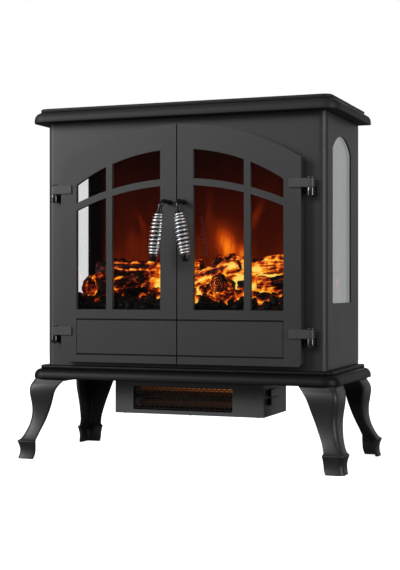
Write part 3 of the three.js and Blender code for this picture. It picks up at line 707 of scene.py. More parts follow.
def strapSpan(side, level):
    low, high = cadSpan(f"{side}_{level}_hinge_strap")
    return max(abs(low.x), abs(high.x)) - hinge["barrel"], low.y + hinge["barrel"], low.z, high.z


def makeStrap(side, level):
    sign = sides[side]
    x, y, low, high = strapSpan(side, level)
    front = y - hinge["barrel"]
    back = front + hinge["leaf"]
    outline = [(hinge["start"], front), (x - 6, front)]
    outline += arc(x, y, hinge["barrel"], -90, 195, 28)
    outline += [(x - 7.6, back + hinge["gap"]), (x - 9, back), (hinge["start"], back)]
    bm = bmesh.new()
    ringSkin(bm, [[at(sign * a, b, z) for a, b in outline] for z in (low, high)])
    node = f"{side}_{level}_hinge_strap"
    piece = fromBmesh(node + "_folded", bm, "strap", crease=30)
    eased(piece, 0.5, 40)
    return placed(piece, f"{side}_door", [node])


def makePintle(side, level):
    x, y, strapLow, strapHigh = strapSpan(side, level)
    x *= sides[side]
    play, web, foot = hinge["play"], hinge["web"], hinge["foot"]
    top, crown = strapLow - play, strapHigh + play
    bottom = top - hinge["knuckle"]
    base = at(x, y, 0)
    bm = bmesh.new()
    barrel(bm, base, hinge["barrel"], bottom, top)
    turned(bm, [(bottom + rise, share * hinge["pin"]) for rise, share in hinge["point"]], base, steps=32)
    barrel(bm, base, hinge["barrel"] - play, crown, crown + hinge["cap"])
    addBlock(bm, x - web, x + web, y, -play, bottom + 0.6, top - 0.6)
    addBlock(bm, x - foot, x + foot, -play - hinge["footThick"], -play, bottom + 0.2, top + 1)
    node = f"{side}_{level}_hinge_pintle"
    return placed(fromBmesh(node + "_pressed", bm, "hinge"), "stove", [node])


for side in sides:
    for level in ("upper", "lower"):
        makeStrap(side, level)
        makePintle(side, level)
print("stage: hinges")

# handles: a bent rod with a barrel-shaped wire grip
handle = {
    "x": 13.0,
    "z": 453.0,
    "standoff": 34.2,
    "rod": 3.9,
    "drop": 103.0,
    "splay": 15.7,
    "bend": 10.0,
    "gripHigh": 431.5,
    "gripLow": 361.0,
    "turns": 12,
    "wire": 1.62,
    "end": 6.4,
    "middle": 10.2,
    "steps": 28,  # drawn round each turn of the wire
    "offset": 2,  # of the leaning part from the hole in the door
    "capGap": 1.2,  # between the grip and the tip
    "sheet": 1.5,
}


def coilTree():
    # a helix that swells in the middle, with its ends closed on to the rod
    tree = Shaper("sprung grip", Turns=12.0, Wire=0.0016, End=0.006, Middle=0.0106, Height=0.07, Steps=400)
    turns, wire, end, middle, height, steps = tree.given[1:]
    spine = tree.node("GeometryNodeMeshLine", inputs={"Count": steps, "Offset": (0, 0, 0.001)})
    share = tree.node("GeometryNodeInputIndex") / (steps - 1)
    swell = tree.maths("POWER", tree.maths("SINE", share * math.pi), 0.8)
    radius = end + (middle - end) * swell
    angle = share * turns * (2 * math.pi)
    pinch = share - 0.035 * tree.maths("SINE", share * (2 * math.pi))
    x, y = radius * tree.maths("COSINE", angle), radius * tree.maths("SINE", angle)
    helix = tree.moved(spine, Position=tree.vector(x, y, pinch * height))
    path = tree.node("GeometryNodeMeshToCurve", inputs=[helix])
    section = tree.node("GeometryNodeCurvePrimitiveCircle", inputs={"Resolution": 12, "Radius": wire})
    return tree.close(tree.curved(path, section), "chrome")


gripTree = coilTree()


def makeHandle(side):
    h = handle
    sign = sides[side]
    front = cadSpan(f"{side}_door_frame")[0].y
    y = front - h["standoff"]
    low = h["z"] - h["drop"]
    tilt = math.atan2(h["splay"], h["drop"])
    slope = (-sign * math.sin(tilt), 0, math.cos(tilt))
    door = f"{side}_door"

    def lean(z):
        return sign * (h["x"] + h["offset"] + h["splay"] * (h["z"] - z) / h["drop"])

    def along(z):
        return at(lean(z), y, z)

    # the rod comes out of the door, bends down and leans outwards
    path = [at(sign * h["x"], b, h["z"]) for b in (front + 12, front - 6, y + h["bend"] + 4)]
    for i in range(6):
        a = math.radians(90 * i / 5)
        z = h["z"] - h["bend"] * (1 - math.cos(a))
        x = sign * h["x"] + (lean(z) - sign * h["x"]) * (i / 5)
        path.append(at(x, y + h["bend"] * (1 - math.sin(a)), z))
    path += [along(h["gripHigh"]), along(low + 5)]
    bm = bmesh.new()
    tubeAlong(bm, [Vector(p) for p in smoothRows([tuple(q) for q in path], 6)], h["rod"], 24)
    flange = [(0, 0), (0, h["rod"] + 1.6), (0.8, h["rod"] + 1.4), (1.3, h["rod"] + 0.2), (1.3, 0)]
    turned(bm, flange, at(sign * h["x"], front - 0.2, h["z"]), (0, -1, 0), 32)
    rod = fromBmesh(f"{side}_handle_bar", bm, "handle", 40)
    placed(rod, door, [f"{side}_handle_rod"])

    lengths = metres(Wire=h["wire"], End=h["end"], Middle=h["middle"], Height=h["gripHigh"] - h["gripLow"])
    counts = {"Turns": float(h["turns"]), "Steps": h["turns"] * h["steps"]}
    grip = gripTree.shape(f"{side}_handle_spring", crease=60, **counts, **lengths)
    spin = Matrix.Rotation(-sign * tilt, 4, "Y")
    grip.data.transform(Matrix.Translation(along(h["gripLow"])) @ spin)
    placed(grip, door, [f"{side}_handle_coil"])

    bm = bmesh.new()
    tall = h["gripLow"] - h["capGap"] - low
    cap = [(0, 0), (0, 4.2), (0.5, 5.2), (1.6, 5.9), (tall - 3, 5.9)]
    cap += [(tall - 2.2, 6.2), (tall - 0.8, 6.2), (tall, 5.4), (tall, 0)]
    turned(bm, cap, along(low), slope, 32)
    collar = [(0, 0), (0, 5.6), (0.6, 6.3), (2.0, 6.3), (2.6, 5.6), (2.6, 0)]
    turned(bm, collar, along(h["gripHigh"] + 1.5), slope, 32)
    tip = fromBmesh(f"{side}_handle_cap", bm, "handle", 40)
    placed(tip, door, [f"{side}_handle_tip"])

    # a washer and a nut hold the rod inside the door
    bm = bmesh.new()
    inside = at(sign * h["x"], front + h["sheet"], h["z"])
    washer = [(0, 0), (0, 8.5), (1.1, 8.5), (1.1, 0)]
    nut = [(1.2, 0), (1.2, 6.4), (1.8, 7.4), (5.6, 7.4), (6.2, 6.4), (6.2, 0)]
    end = [(6, 0), (6, 3.6), (9.2, 3.6), (9.8, 3.0), (9.8, 0)]
    for profile, steps in ((washer, 36), (nut, 6), (end, 24)):
        turned(bm, profile, inside, (0, 1, 0), steps)
    placed(fromBmesh(f"{side}_handle_nut", bm, "zinc"), door)


for side in sides:
    makeHandle(side)
print("stage: handles")

# heater: housing, mesh over the outlet, tubes, reflector, fan and motor
heater = {"pitch": 9.4, "row": 4.9, "strand": 0.75, "thick": 1.0, "frame": 4.0, "coldEnd": 16}


def quartzPaint():
    # painted glow standing in for a coppery reflection: the tubes' middles glow faintly, the upper half of the
    # upper tube most, rising towards the right
    paint = Paint("quartz tube")
    x, y, z = paint.axes()
    low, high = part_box("upper_quartz_tube")
    middle, half = (low.x + high.x) / 2, (high.x - low.x) / 2 - heater["coldEnd"] * mm
    hot = paint.maths("LESS_THAN", paint.maths("ABSOLUTE", x - middle), half)
    upper = paint.maths("GREATER_THAN", z, low.z * 0.45 + high.z * 0.55)
    coil = paint.node("ShaderNodeTexWave", {"bands_direction": "X"}, {"Vector": paint.place, "Scale": 90.0})
    along = paint.node("ShaderNodeMapRange", inputs=[x, low.x, high.x, 0.10, 1.0])
    share = hot * (0.10 + 0.90 * upper) * (0.3 + 0.7 * coil) * along
    # the emitted colour is painted reflection, not light from the tubes
    glow = paint.blend(share, (0.0, 0.0, 0.0), (0.34, 0.105, 0.028))
    body = paint.blend(hot, (0.35, 0.33, 0.30), (0.05, 0.02, 0.01))
    return paint.coat(Base_Color=body, Roughness=0.3, Emission_Color=glow, Emission_Strength=1.0)


def meshTree():
    # squashed six-sided cells in staggered rows
    tree = Shaper("outlet mesh", Columns=20, Rows=8, Pitch=0.0094, Row=0.0049, Strand=0.0007, Thick=0.001)
    columns, rows, pitch, rise, strand, thick = tree.given[1:]
    points = tree.node("GeometryNodePoints", inputs={"Count": columns * rows})
    index = tree.node("GeometryNodeInputIndex")
    row = tree.maths("FLOOR", (index + 0.5) / columns)
    column = index - row * columns
    stagger = tree.maths("MODULO", row, 2.0) * 0.5
    spots = tree.moved(points, Position=tree.vector((column + stagger) * pitch, 0.0, row * rise))
    cell = tree.node("GeometryNodeCurvePrimitiveCircle", inputs={"Resolution": 6, "Radius": 1.0})
    size = tree.vector(pitch * 0.58, rise * 0.70, 1.0)
    flat = tree.node("GeometryNodeTransform", inputs={"Geometry": cell, "Scale": size})
    stood = tree.node("GeometryNodeTransform", inputs={"Geometry": flat, "Rotation": (math.pi / 2, 0, 0)})
    wire = tree.node("GeometryNodeCurvePrimitiveQuadrilateral", inputs={"Width": thick, "Height": strand})
    return tree.close(tree.spread(spots, tree.curved(stood, wire)), "mesh")


def makeGrille():
    low, high = cadSpan("heater_grille")
    g = heater
    inner = (low.x + g["frame"], high.x - g["frame"], low.z + g["frame"] - 1, high.z - g["frame"])
    columns = int((inner[1] - inner[0]) / g["pitch"])
    rows = int((inner[3] - inner[2]) / g["row"]) + 1
    lengths = metres(Pitch=g["pitch"], Row=g["row"], Strand=g["strand"], Thick=g["thick"])
    mesh = meshTree().shape("outlet_cells", Columns=columns, Rows=rows, smooth=False, **lengths)
    mesh.data.transform(Matrix.Translation(at(inner[0] + g["pitch"] / 3, low.y + 0.6, inner[2] + 1)))
    bm = bmesh.new()
    bm.from_mesh(mesh.data)
    bpy.data.objects.remove(mesh)
    for x0, x1, z0, z1 in (
        (low.x, high.x, low.z, inner[2]),
        (low.x, high.x, inner[3], high.z),
        (low.x, inner[0], inner[2], inner[3]),
        (inner[1], high.x, inner[2], inner[3]),
    ):
        addBlock(bm, x0, x1, low.y, high.y, z0, z1)
    node = "heater_outlet_mesh"
    piece = objectFrom(node, meshFrom(node, bm), "mesh", smooth=False)
    placed(piece, "stove", ["heater_grille"])


sheetMetal("heater", 0.4, "heater_housing")
makeGrille()
paints["quartz"] = quartzPaint()
sheetMetal("quartz", 0.3, "upper_quartz_tube", "lower_quartz_tube")
sheetMetal("reflector", 0.2, "heater_reflector")
sheetMetal("zinc", 0.15, "heater_fan")
sheetMetal("zinc", 0.6, "heater_fan_motor")
print("stage: heater")

# controls
knob = {"ridges": 28, "ridge": 0.7, "ridgeLong": 6.4, "skirt": 12.0, "grip": 9.0, "high": 11.1, "shaft": 3}


def ridgeTree():
    tree = Shaper("knurl", Count=28, Radius=0.009, Ridge=0.0007, Length=0.006)
    count, radius, ridge, length = tree.given[1:]
    ring = tree.node("GeometryNodeMeshCircle", inputs={"Vertices": count, "Radius": radius})
    bar = tree.node("GeometryNodeMeshCylinder", inputs={"Vertices": 8, "Radius": ridge, "Depth": length})
    return tree.close(tree.spread(ring, bar), "plastic")


knurlTree = ridgeTree()


def boardPaint():
    # green lacquer over copper tracks, with pads
    paint = Paint("circuit board")
    near = {"Vector": paint.place, "Scale": 190.0}
    cells = paint.node("ShaderNodeTexVoronoi", {"distance": "CHEBYCHEV"}, near)
    brick = {"Vector": paint.place, "Scale": 160.0, "Mortar Size": 0.03}
    tracks = paint.node("ShaderNodeTexBrick", inputs=brick, outlet=1)
    pads = paint.maths("LESS_THAN", cells, 0.16)
    tone = paint.blend(paint.noise(60, 3), (0.006, 0.045, 0.018), (0.010, 0.070, 0.028))
    tracked = paint.blend(tracks * 0.5, tone, (0.030, 0.13, 0.045))
    return paint.coat(
        Base_Color=paint.blend(pads, tracked, (0.55, 0.52, 0.46)),
        Metallic=pads * 0.8,
        Roughness=0.38 + 0.1 * cells,
        Normal=paint.bump(tracks, 0.00005, 0.6),
    )


def makeKnob(node):
    low, high = cadSpan(node)
    x, z = (low.x + high.x) / 2, (low.z + high.z) / 2
    centre = at(x, 0, z)
    lengths = metres(Radius=knob["grip"], Ridge=knob["ridge"], Length=knob["ridgeLong"])
    knurls = knurlTree.shape(node + "_knurl", Count=knob["ridges"], **lengths)
    upright = Matrix.Rotation(math.pi / 2, 4, "X")
    knurls.data.transform(Matrix.Translation(at(x, -7, z)) @ upright)
    bm = bmesh.new()
    bm.from_mesh(knurls.data)
    bpy.data.objects.remove(knurls)
    skirt, grip, top, shaft = knob["skirt"], knob["grip"], knob["high"], knob["shaft"]
    profile = [(0.3, 0), (0.3, skirt), (1.4, skirt), (2.6, skirt - 0.6), (3.6, grip + 0.6)]
    profile += [(top - 0.9, grip), (top - 0.2, grip - 0.7), (top, grip - 1.6), (top, 0)]
    turned(bm, profile, centre, (0, -1, 0), 64)
    turned(bm, [(-14, 0), (-14, shaft), (1, shaft), (1, 0)], centre, (0, -1, 0), 24)
    addBlock(bm, x - 0.8, x + 0.8, -12.0, -10.8, z + 1, z + 8)
    placed(fromBmesh(node + "_grip", bm, "plastic"), node, [node])


for node in ("thermostat_knob", "flame_dimmer_knob"):
    makeKnob(node)
sheetMetal("plastic", 0.5, "power_rocker", "low_heat_rocker", "high_heat_rocker")
sheetMetal("plastic", 0.5, "control_bracket", "door_catch", "cord_gland")
paints["board"] = boardPaint()
sheetMetal("board", 0.2, "led_board", "control_board")
print("stage: controls")

# screws, drawn once and set wherever they are needed
screw = {"head": 3.4, "rise": 1.9, "slot": 0.55, "reach": 2.1, "edge": 0.2, "root": 0.6, "deep": 2.0}


def screwHead():
    s = screw
    bm = bmesh.new()
    dome = arc(s["edge"], 0, s["rise"] - s["edge"], 90, 0, 6, tall=s["head"])
    turned(bm, [(-s["root"], 0), (-s["root"], s["head"])] + dome, Vector((0, 0, 0)), steps=20)
    bmesh.ops.remove_doubles(bm, verts=bm.verts, dist=0.000001)
    body = linked("screw_head", meshFrom("screw_head", bm))
    width, length = 2 * s["slot"] * mm, 2 * s["reach"] * mm
    for across, along in ((width, length), (length, width)):
        bar = bmesh.new()
        bmesh.ops.create_cube(bar, size=1)
        bmesh.ops.scale(bar, vec=(across, along, s["deep"] * mm), verts=bar.verts)
        bmesh.ops.translate(bar, vec=(0, 0, (s["rise"] + 0.1) * mm), verts=bar.verts)
        cutter = linked("recess", meshFrom("recess", bar))
        cut = body.modifiers.new("recess", "BOOLEAN")
        cut.operation = "DIFFERENCE"
        cut.object = cutter
        cut.solver = "EXACT"
        solved = body.evaluated_get(bpy.context.evaluated_depsgraph_get())
        carved = bpy.data.meshes.new_from_object(solved)
        body.modifiers.clear()
        body.data = carved
        bpy.data.objects.remove(cutter)
    return body


def screwTree():
    tree = Shaper("screws", Head=None, Seed=3)
    source, head, seed = tree.given
    shape = tree.node("GeometryNodeObjectInfo", inputs={"Object": head}, outlet=4)
    spots = tree.node("GeometryNodeMeshToPoints", inputs=[source])
    spin = tree.vector(0.0, 0.0, tree.randomly(0.0, math.pi, seed))
    return tree.close(tree.spread(spots, shape, Rotation=spin), "zinc")


screwPattern = screwTree()
headObject = screwHead()


def setScrews(name, places, axis):
    # places are drawn in the plane of the screws' heads, then turned to face along the axis
    facing = Vector((0, 0, 1)).rotation_difference(Vector(axis)).to_matrix().to_4x4()
    spots = bpy.data.meshes.new(name)
    spots.from_pydata([facing.inverted() @ at(*place) for place in places], [], [])
    piece = screwPattern.shape(name, spots, "zinc", Head=headObject, Seed=len(places))
    piece.data.transform(facing)
    placed(piece, "stove")


def ringOfPlaces(x0, x1, z0, z1, across, up, y):
    places = []
    for i in range(across):
        x = x0 + (x1 - x0) * i / (across - 1)
        places += [(x, y, z0), (x, y, z1)]
    for i in range(1, up - 1):
        z = z0 + (z1 - z0) * i / (up - 1)
        places += [(x0, y, z), (x1, y, z)]
    return places


margins = {
    "back": (8, 9),  # of the panel's screws from its sides and ends
    "heater": 12,  # from the housing's front and back
    "leg": (22, 20),  # from the casing's side and from its front or back
    "second": (6, 12),  # from the leg's first screw, inwards and outwards
    "flange": 4,
    "row": 126,
}
backLow, backHigh = cadSpan("back_panel")
across, up = margins["back"]
backSpots = ringOfPlaces(
    backLow.x + across, backHigh.x - across, backLow.z + up, backHigh.z - up, 5, 4, backHigh.y
)
setScrews("back_panel_screws", backSpots, (0, 1, 0))
legScrews = []
for end in ("front", "rear"):
    for side, sign in sides.items():
        z = cadSpan(f"{end}_{side}_leg")[1].z - margins["flange"]
        fromSide, fromFront = margins["leg"]
        stepIn, stepOut = margins["second"]
        x = backHigh.x - fromSide
        y = fromFront if end == "front" else backHigh.y - fromSide - fromFront
        second = y + (-stepOut if end == "front" else stepOut)
        legScrews += [(sign * x, y, z), (sign * (x - stepIn), second, z)]
setScrews("leg_screws", legScrews, (0, 0, -1))
heaterLow, heaterHigh = cadSpan("heater_housing")
lines = (heaterLow.y + margins["heater"], heaterHigh.y - margins["heater"])
heaterSpots = [(k * margins["row"], y, heaterLow.z) for k in (-1, 0, 1) for y in lines]
setScrews("heater_screws", heaterSpots, (0, 0, -1))
bpy.data.objects.remove(headObject)
print("stage: screws")


# firebox: liner, flame screen, ember bed and logs
flames = {
    "top": 560.0,
    "base": 350.0,
    "edge": 236.0,
    "tongues": [  # x, z, half width, half height, lean, strength
        (27, 378, 20, 30, -0.1, 0.44),
        (12, 398, 18, 34, -0.35, 0.14),
        (54, 368, 9, 18, 0.1, 0.36),
        (18, 402, 44, 50, 0.0, 0.10),
        (-12, 462, 9, 40, 0.05, 0.11),
        (80, 437, 9, 26, 0.45, 0.17),
        (98, 478, 12, 34, 0.5, 0.05),
        (-153, 434, 7, 19, -0.4, 0.13),
        (-168, 390, 12, 30, 0.0, 0.10),
        (-140, 402, 30, 44, 0.1, 0.06),
    ],
}


flameStops = [
    (0.0, (0.0, 0.0, 0.0)),
    (0.10, (0.007, 0.0006, 0.0)),
    (0.28, (0.042, 0.0028, 0.0004)),
    (0.45, (0.150, 0.013, 0.0006)),
    (0.65, (0.48, 0.046, 0.002)),
    (0.85, (1.0, 0.20, 0.006)),
    (1.0, (1.0, 0.48, 0.05)),
]


def flamePaint():
    paint = Paint("flame screen")
    x, y, z = [axis * (1 / mm) for axis in paint.axes()]
    wisp = paint.noise(1.0, 4, 0.6, paint.stretched((26, 26, 7)), 0.8)
    fine = paint.noise(1.0, 3, 0.6, paint.stretched((90, 90, 18)), 0.4)
    share = (z - flames["base"]) / (flames["top"] - flames["base"])
    rise = paint.node("ShaderNodeClamp", inputs=[share])
    heat = 0.35 - 0.26 * rise**0.8 + 0.14 * (wisp - 0.5) * (1.3 - rise)
    for tx, tz, wide, tall, lean, strength in flames["tongues"]:
        up = (z - tz) * (1 / tall)
        across = (x - tx - (z - tz) * lean) * (1 / wide) + (wisp - 0.5) * 1.4
        blob = 0.33 ** (across * across + up * up)
        heat = heat + strength * blob * (0.65 + 0.7 * fine)
    edge = flames["edge"]
    inside = paint.node("ShaderNodeMapRange", inputs=[paint.maths("ABSOLUTE", x), edge, edge - 14, 0.0, 1.0])
    return paint.coat(
        Base_Color=paint.blend(wisp, (0.002, 0.0006, 0.0006), (0.004, 0.001, 0.0008)),
        Roughness=0.7,
        Specular_IOR_Level=0.0,
        Emission_Color=paint.ramp(heat * inside, flameStops),
        Emission_Strength=1.0,
    )


emberStops = [
    (0.0, (0.0, 0.0, 0.0)),
    (0.26, (0.004, 0.0005, 0.0002)),
    (0.38, (0.045, 0.003, 0.001)),
    (0.50, (0.20, 0.013, 0.002)),
    (0.62, (0.66, 0.075, 0.004)),
    (0.74, (0.98, 0.24, 0.010)),
    (0.88, (1.0, 0.47, 0.030)),
    (1.0, (1.0, 0.74, 0.14)),
]


def resinPaint(name, bark, detail, reach):
    # painted resin, lit from inside where the paint is thin: the mesh says where, fine grain breaks it up
    paint = Paint(name)
    heat = paint.node("ShaderNodeAttribute", {"attribute_name": "glow"}, outlet=2)
    grain = paint.noise(detail, 5, 0.65, None, 0.3)
    speck = paint.noise(detail * 3.4, 3, 0.6)
    lit = heat + reach * (grain - 0.5) + 0.35 * reach * (speck - 0.5)
    return paint.coat(
        Base_Color=paint.shades(grain, bark, 3.0),
        Roughness=0.42 + 0.3 * speck,
        Specular_IOR_Level=0.12,
        Normal=paint.bump(grain + 0.4 * speck, 0.0009, 0.8),
        Emission_Color=paint.ramp(lit, emberStops),
        Emission_Strength=1.0,
    )


paints["flame"] = flamePaint()
paints["log"] = resinPaint("log resin", (0.0045, 0.0016, 0.001), 170, 0.50)
paints["coal"] = resinPaint("coal resin", (0.0014, 0.001, 0.0008), 190, 0.45)
sheetMetal("liner", 0.3, "firebox_liner", "rotor_bracket")
sheetMetal("flame", 0.2, "flame_screen")
sheetMetal("polished", 0.15, "flame_rotor")
sheetMetal("zinc", 0.5, "rotor_motor")


def coarse(x, y, z, seed):
    return noise.fractal(Vector((x, y, z + 17.3 * seed)), 1.0, 2.0, 3)


# how warm the bed is along x: the lamps leave its left end dark and its right half bright
bedWarmth = (
    (-245, 0.16), (-175, 0.24), (-110, 0.30), (-75, 0.50), (-40, 0.58), (10, 0.60),
    (60, 0.62), (150, 0.60), (190, 0.40), (222, 0.12), (245, 0.0),
)


def warmth(x):
    for (x0, w0), (x1, w1) in zip(bedWarmth, bedWarmth[1:]):
        if x <= x1:
            return w0 + (w1 - w0) * max(0, x - x0) / (x1 - x0)
    return bedWarmth[-1][1]


# a log's ends, its radii, and its glow: a base level, cracks between the bark, bright lines along it
# (angle round the log, half width, from, to, strength), bright spots (place along it, angle, size, strength)
# and knots (place along it, angle, height, width)
logs = {
    "log_back_left": {
        "from": (-226, 148, 338), "to": (-18, 150, 344), "radii": (17, 15),
        "heat": -0.02, "cracks": 0.35, "patch": 0.30,
        "lines": [(50, 8, 0.12, 0.56, 0.62), (4, 6, 0.14, 0.56, 0.78), (-28, 7, 0.60, 0.98, 0.30)],
        "spots": [(0.69, -18, 15, 0.62), (0.53, 50, 6, 0.45), (0.20, 52, 7, 0.35), (0.88, 20, 14, 0.22)],
        "knots": [(0.16, 80, 6, 10), (0.235, 100, 8, 9), (0.66, 60, 3, 20)], "end": 0.3, "swirl": 0.1,
    },
    "log_back_right": {
        "from": (8, 150, 343), "to": (214, 146, 348), "radii": (15, 18),
        "heat": -0.12, "cracks": 0.5, "patch": 0.6,
        "lines": [(28, 7, 0.22, 0.95, 0.30), (-14, 8, 0.3, 0.9, 0.35)],
        "spots": [(0.36, 0, 13, 0.45), (0.66, -10, 12, 0.30), (0.05, 20, 9, 0.25)],
        "knots": [(0.06, 70, 9, 13), (0.17, 100, 11, 15), (0.30, 60, 4, 14), (0.86, 60, 5, 18)],
        "end": 0.3, "swirl": 0.1,
    },
    "log_rising": {
        "from": (-16, 106, 317), "to": (72, 104, 347), "radii": (13, 12),
        "heat": -0.08, "cracks": 0.45, "patch": 0.6,
        "lines": [(52, 9, 0.0, 0.95, 0.40), (-24, 9, 0.0, 0.6, 0.35)], "spots": [(0.85, 20, 12, 0.40)],
        "knots": [(0.78, 90, 4, 12)], "end": 0.30, "swirl": 0.2,
    },
    "log_centre": {
        "from": (49, 54, 312), "to": (58, 92, 308), "radii": (17, 13),
        "heat": -0.34, "cracks": 0.4, "patch": 0.4,
        "lines": [], "spots": [], "knots": [(0.2, 60, 4, 6), (0.2, 120, 3, 6), (0.2, 10, 3, 6)],
        "end": 0.36, "swirl": 0.42,
    },
    "log_dark": {
        "from": (-190, 92, 304), "to": (-100, 66, 320), "radii": (13, 11),
        "heat": -0.14, "cracks": 0.3, "patch": 0.35,
        "lines": [(68, 9, 0.30, 0.92, 0.75), (-40, 8, 0.1, 0.6, 0.25)], "spots": [(0.30, 40, 9, 0.3)],
        "knots": [(0.55, 240, 3, 16)], "end": 0.10, "swirl": 0.15,
    },
    "log_far_left": {
        "from": (-219, 104, 317), "to": (-203, 56, 303), "radii": (14, 13),
        "heat": 0.14, "cracks": 0.5, "patch": 0.45,
        "lines": [(60, 12, 0.1, 0.9, 0.2)], "spots": [], "knots": [(0.9, 130, 3, 7), (0.9, 200, 3, 6)],
        "end": 0.50, "swirl": 0.0,
    },
    "log_right": {
        "from": (212, 74, 318), "to": (122, 58, 313), "radii": (14, 13),
        "heat": -0.28, "cracks": 0.5, "patch": 0.6,
        "lines": [(50, 8, 0.1, 0.7, 0.3)], "spots": [(0.55, 30, 11, 0.3)],
        "knots": [(0.4, 100, 4, 12), (0.95, 60, 4, 8)],
        "end": 0.16, "swirl": 0.25,
    },
}
bark = {"step": 1.9, "around": 52, "lump": 1.7, "furrow": 1.9, "rim": 1.6, "ringGap": 4.2, "endRings": 15}


def turnBetween(a, b):
    return (a - b + math.pi) % (2 * math.pi) - math.pi


def makeLog(node, spec, seed):
    start, end = Vector(spec["from"]), Vector(spec["to"])
    span = (end - start).length
    ahead = (end - start).normalized()
    side = ahead.cross(Vector((0, 0, 1))).normalized()
    up = side.cross(ahead)
    count = max(10, int(span / bark["step"]))
    bm = bmesh.new()
    heatLayer = bm.verts.layers.float.new("glow")
    rings = []

    def vertex(place, heat):
        made = bm.verts.new(at(*place))
        made[heatLayer] = heat
        return made

    def barkAt(t, a):
        along = t * span
        cx, cz = math.cos(a), math.sin(a)
        lump = coarse(along / 26, cx * 0.8, cz * 0.8, seed)
        strip = coarse(along / 60, cx * 3.6, cz * 3.6, seed + 5)
        furrow = 1 - min(1, abs(strip) * 4.2)
        flake = coarse(along / 7, cx * 2.2, cz * 2.2, seed + 9)
        r = spec["radii"][0] + (spec["radii"][1] - spec["radii"][0]) * t
        rise = bark["lump"] * lump * 2 - bark["furrow"] * furrow + 0.9 * flake
        knot = 0
        for kt, angle, height, width in spec["knots"]:
            away = (along - kt * span) ** 2 + (r * turnBetween(a, math.radians(angle))) ** 2
            knot += height * math.exp(-away / (width * width * 0.5))
        heat = warmth(start.x + (end.x - start.x) * t) + spec["heat"] + spec["patch"] * lump + 0.30 * flake
        drift = math.radians(16) * coarse(along / 40, 0, 0, seed + 3)
        for angle, width, begin, finish, strength in spec["lines"]:
            off = math.degrees(turnBetween(a + drift, math.radians(angle))) / width
            inside = min(1, max(0, (t - begin) * 12)) * min(1, max(0, (finish - t) * 12))
            broken = 0.8 + 0.9 * coarse(along / 11, 0, 0, seed + 4)
            heat += strength * math.exp(-off * off) * inside * broken
        for place, angle, wide, strength in spec["spots"]:
            off = Vector((along - place * span, r * turnBetween(a, math.radians(angle)))).length / wide
            heat += strength * math.exp(-off * off)
        heat += spec["cracks"] * max(0, furrow - 0.35) - 0.022 * knot - 0.10 * cz
        return r + rise + knot, heat

    for i in range(count + 1):
        t = i / count
        close = min(t, 1 - t) * span
        trim = bark["rim"] * max(0, 1 - close / 3.0) ** 2
        sway = side * (2.4 * math.sin(3.1 * t + seed)) + up * (1.6 * math.sin(4.3 * t + 2 * seed))
        middle = start + (end - start) * t + sway
        ring = []
        for k in range(bark["around"]):
            a = 2 * math.pi * k / bark["around"]
            r, heat = barkAt(t, a)
            r -= trim
            ring.append(vertex(middle + side * (r * math.cos(a)) + up * (r * math.sin(a)), heat))
        rings.append(ring)
    for low, high in zip(rings, rings[1:]):
        bridge(bm, low, high)
    for rim, outward in ((rings[0], -1), (rings[-1], 1)):
        middle = sum((drawn(v.co) for v in rim), Vector()) / len(rim)
        outer = rim
        for level in range(1, bark["endRings"]):
            shrink = 1 - level / bark["endRings"]
            ring = []
            for k, edge in enumerate(rim):
                a = 2 * math.pi * k / bark["around"]
                reach = (drawn(edge.co) - middle) * shrink
                turn = reach.length / bark["ringGap"] + a / (2 * math.pi)
                groove = math.sin(2 * math.pi * turn)
                place = middle + reach + ahead * (outward * (0.4 + 0.8 * groove))
                grainy = 0.30 * coarse(place.x / 5, place.y / 5, place.z / 16, seed)
                ring.append(vertex(place, spec["end"] - 0.10 + spec["swirl"] * max(0, -groove) ** 2 + grainy))
            bridge(bm, *((outer, ring) if outward > 0 else (ring, outer)))
            outer = ring
        bm.faces.new(outer if outward > 0 else list(reversed(outer)))
    bmesh.ops.recalc_face_normals(bm, faces=bm.faces)
    piece = objectFrom(node + "_bark", meshFrom(node + "_bark", bm), "log", crease=180)
    return placed(piece, "stove", [node])


for seed, (node, spec) in enumerate(logs.items(), 1):
    makeLog(node, spec, seed)
print("stage: logs")

# the bed is a moulded sheet that climbs to the back, with loose coals over it
bed = {
    "rows": (  # y, height
        (20, 268), (30, 270), (45, 275), (70, 281), (100, 287), (118, 297), (130, 313), (146, 326), (168, 330),
    ),
    "left": -244.0,
    "right": 244.0,
    "front": 20,
    "deep": 148,
    "step": 3.2,
    "lump": 2.6,
    "coals": 430,
    "coal": (5.0, 9.2),
    "coalFront": 24,
    "coalDeep": 104,
    "crowding": 1.25,  # of the coals towards the front
    "glows": [  # x, y, half width, half depth, strength
        (-86, 112, 14, 22, 0.55),
        (-118, 60, 8, 16, 0.40),
        (-84, 54, 18, 7, 0.35),
        (-204, 60, 12, 12, 0.30),
        (4, 58, 26, 9, 0.25),
        (80, 62, 22, 9, 0.30),
        (150, 56, 26, 8, 0.25),
        (100, 92, 30, 14, 0.25),
    ],
}


def bedHeight(x, y):
    for (y0, z0), (y1, z1) in zip(bed["rows"], bed["rows"][1:]):
        if y <= y1:
            height = z0 + (z1 - z0) * (y - y0) / (y1 - y0)
            break
    else:
        height = bed["rows"][-1][1]
    return height + bed["lump"] * coarse(x / 17, y / 17, 0, 2) * min(1, (y - bed["front"]) / 8)


def bedHeat(x, y, z, seed):
    # dark along the front, hottest through the middle of the bed
    depth = min(1, max(0, (y - 40) / 12))
    back = min(1, max(0, (y - 105) / 20))
    heat = warmth(x) + 0.12 + 0.10 * back + 0.70 * coarse(x / 24, y / 24, z / 24, seed)
    for gx, gy, wide, deep, strength in bed["glows"]:
        heat += strength * math.exp(-(((x - gx) / wide) ** 2) - ((y - gy) / deep) ** 2)
    return heat * depth - 0.3 * (1 - depth)


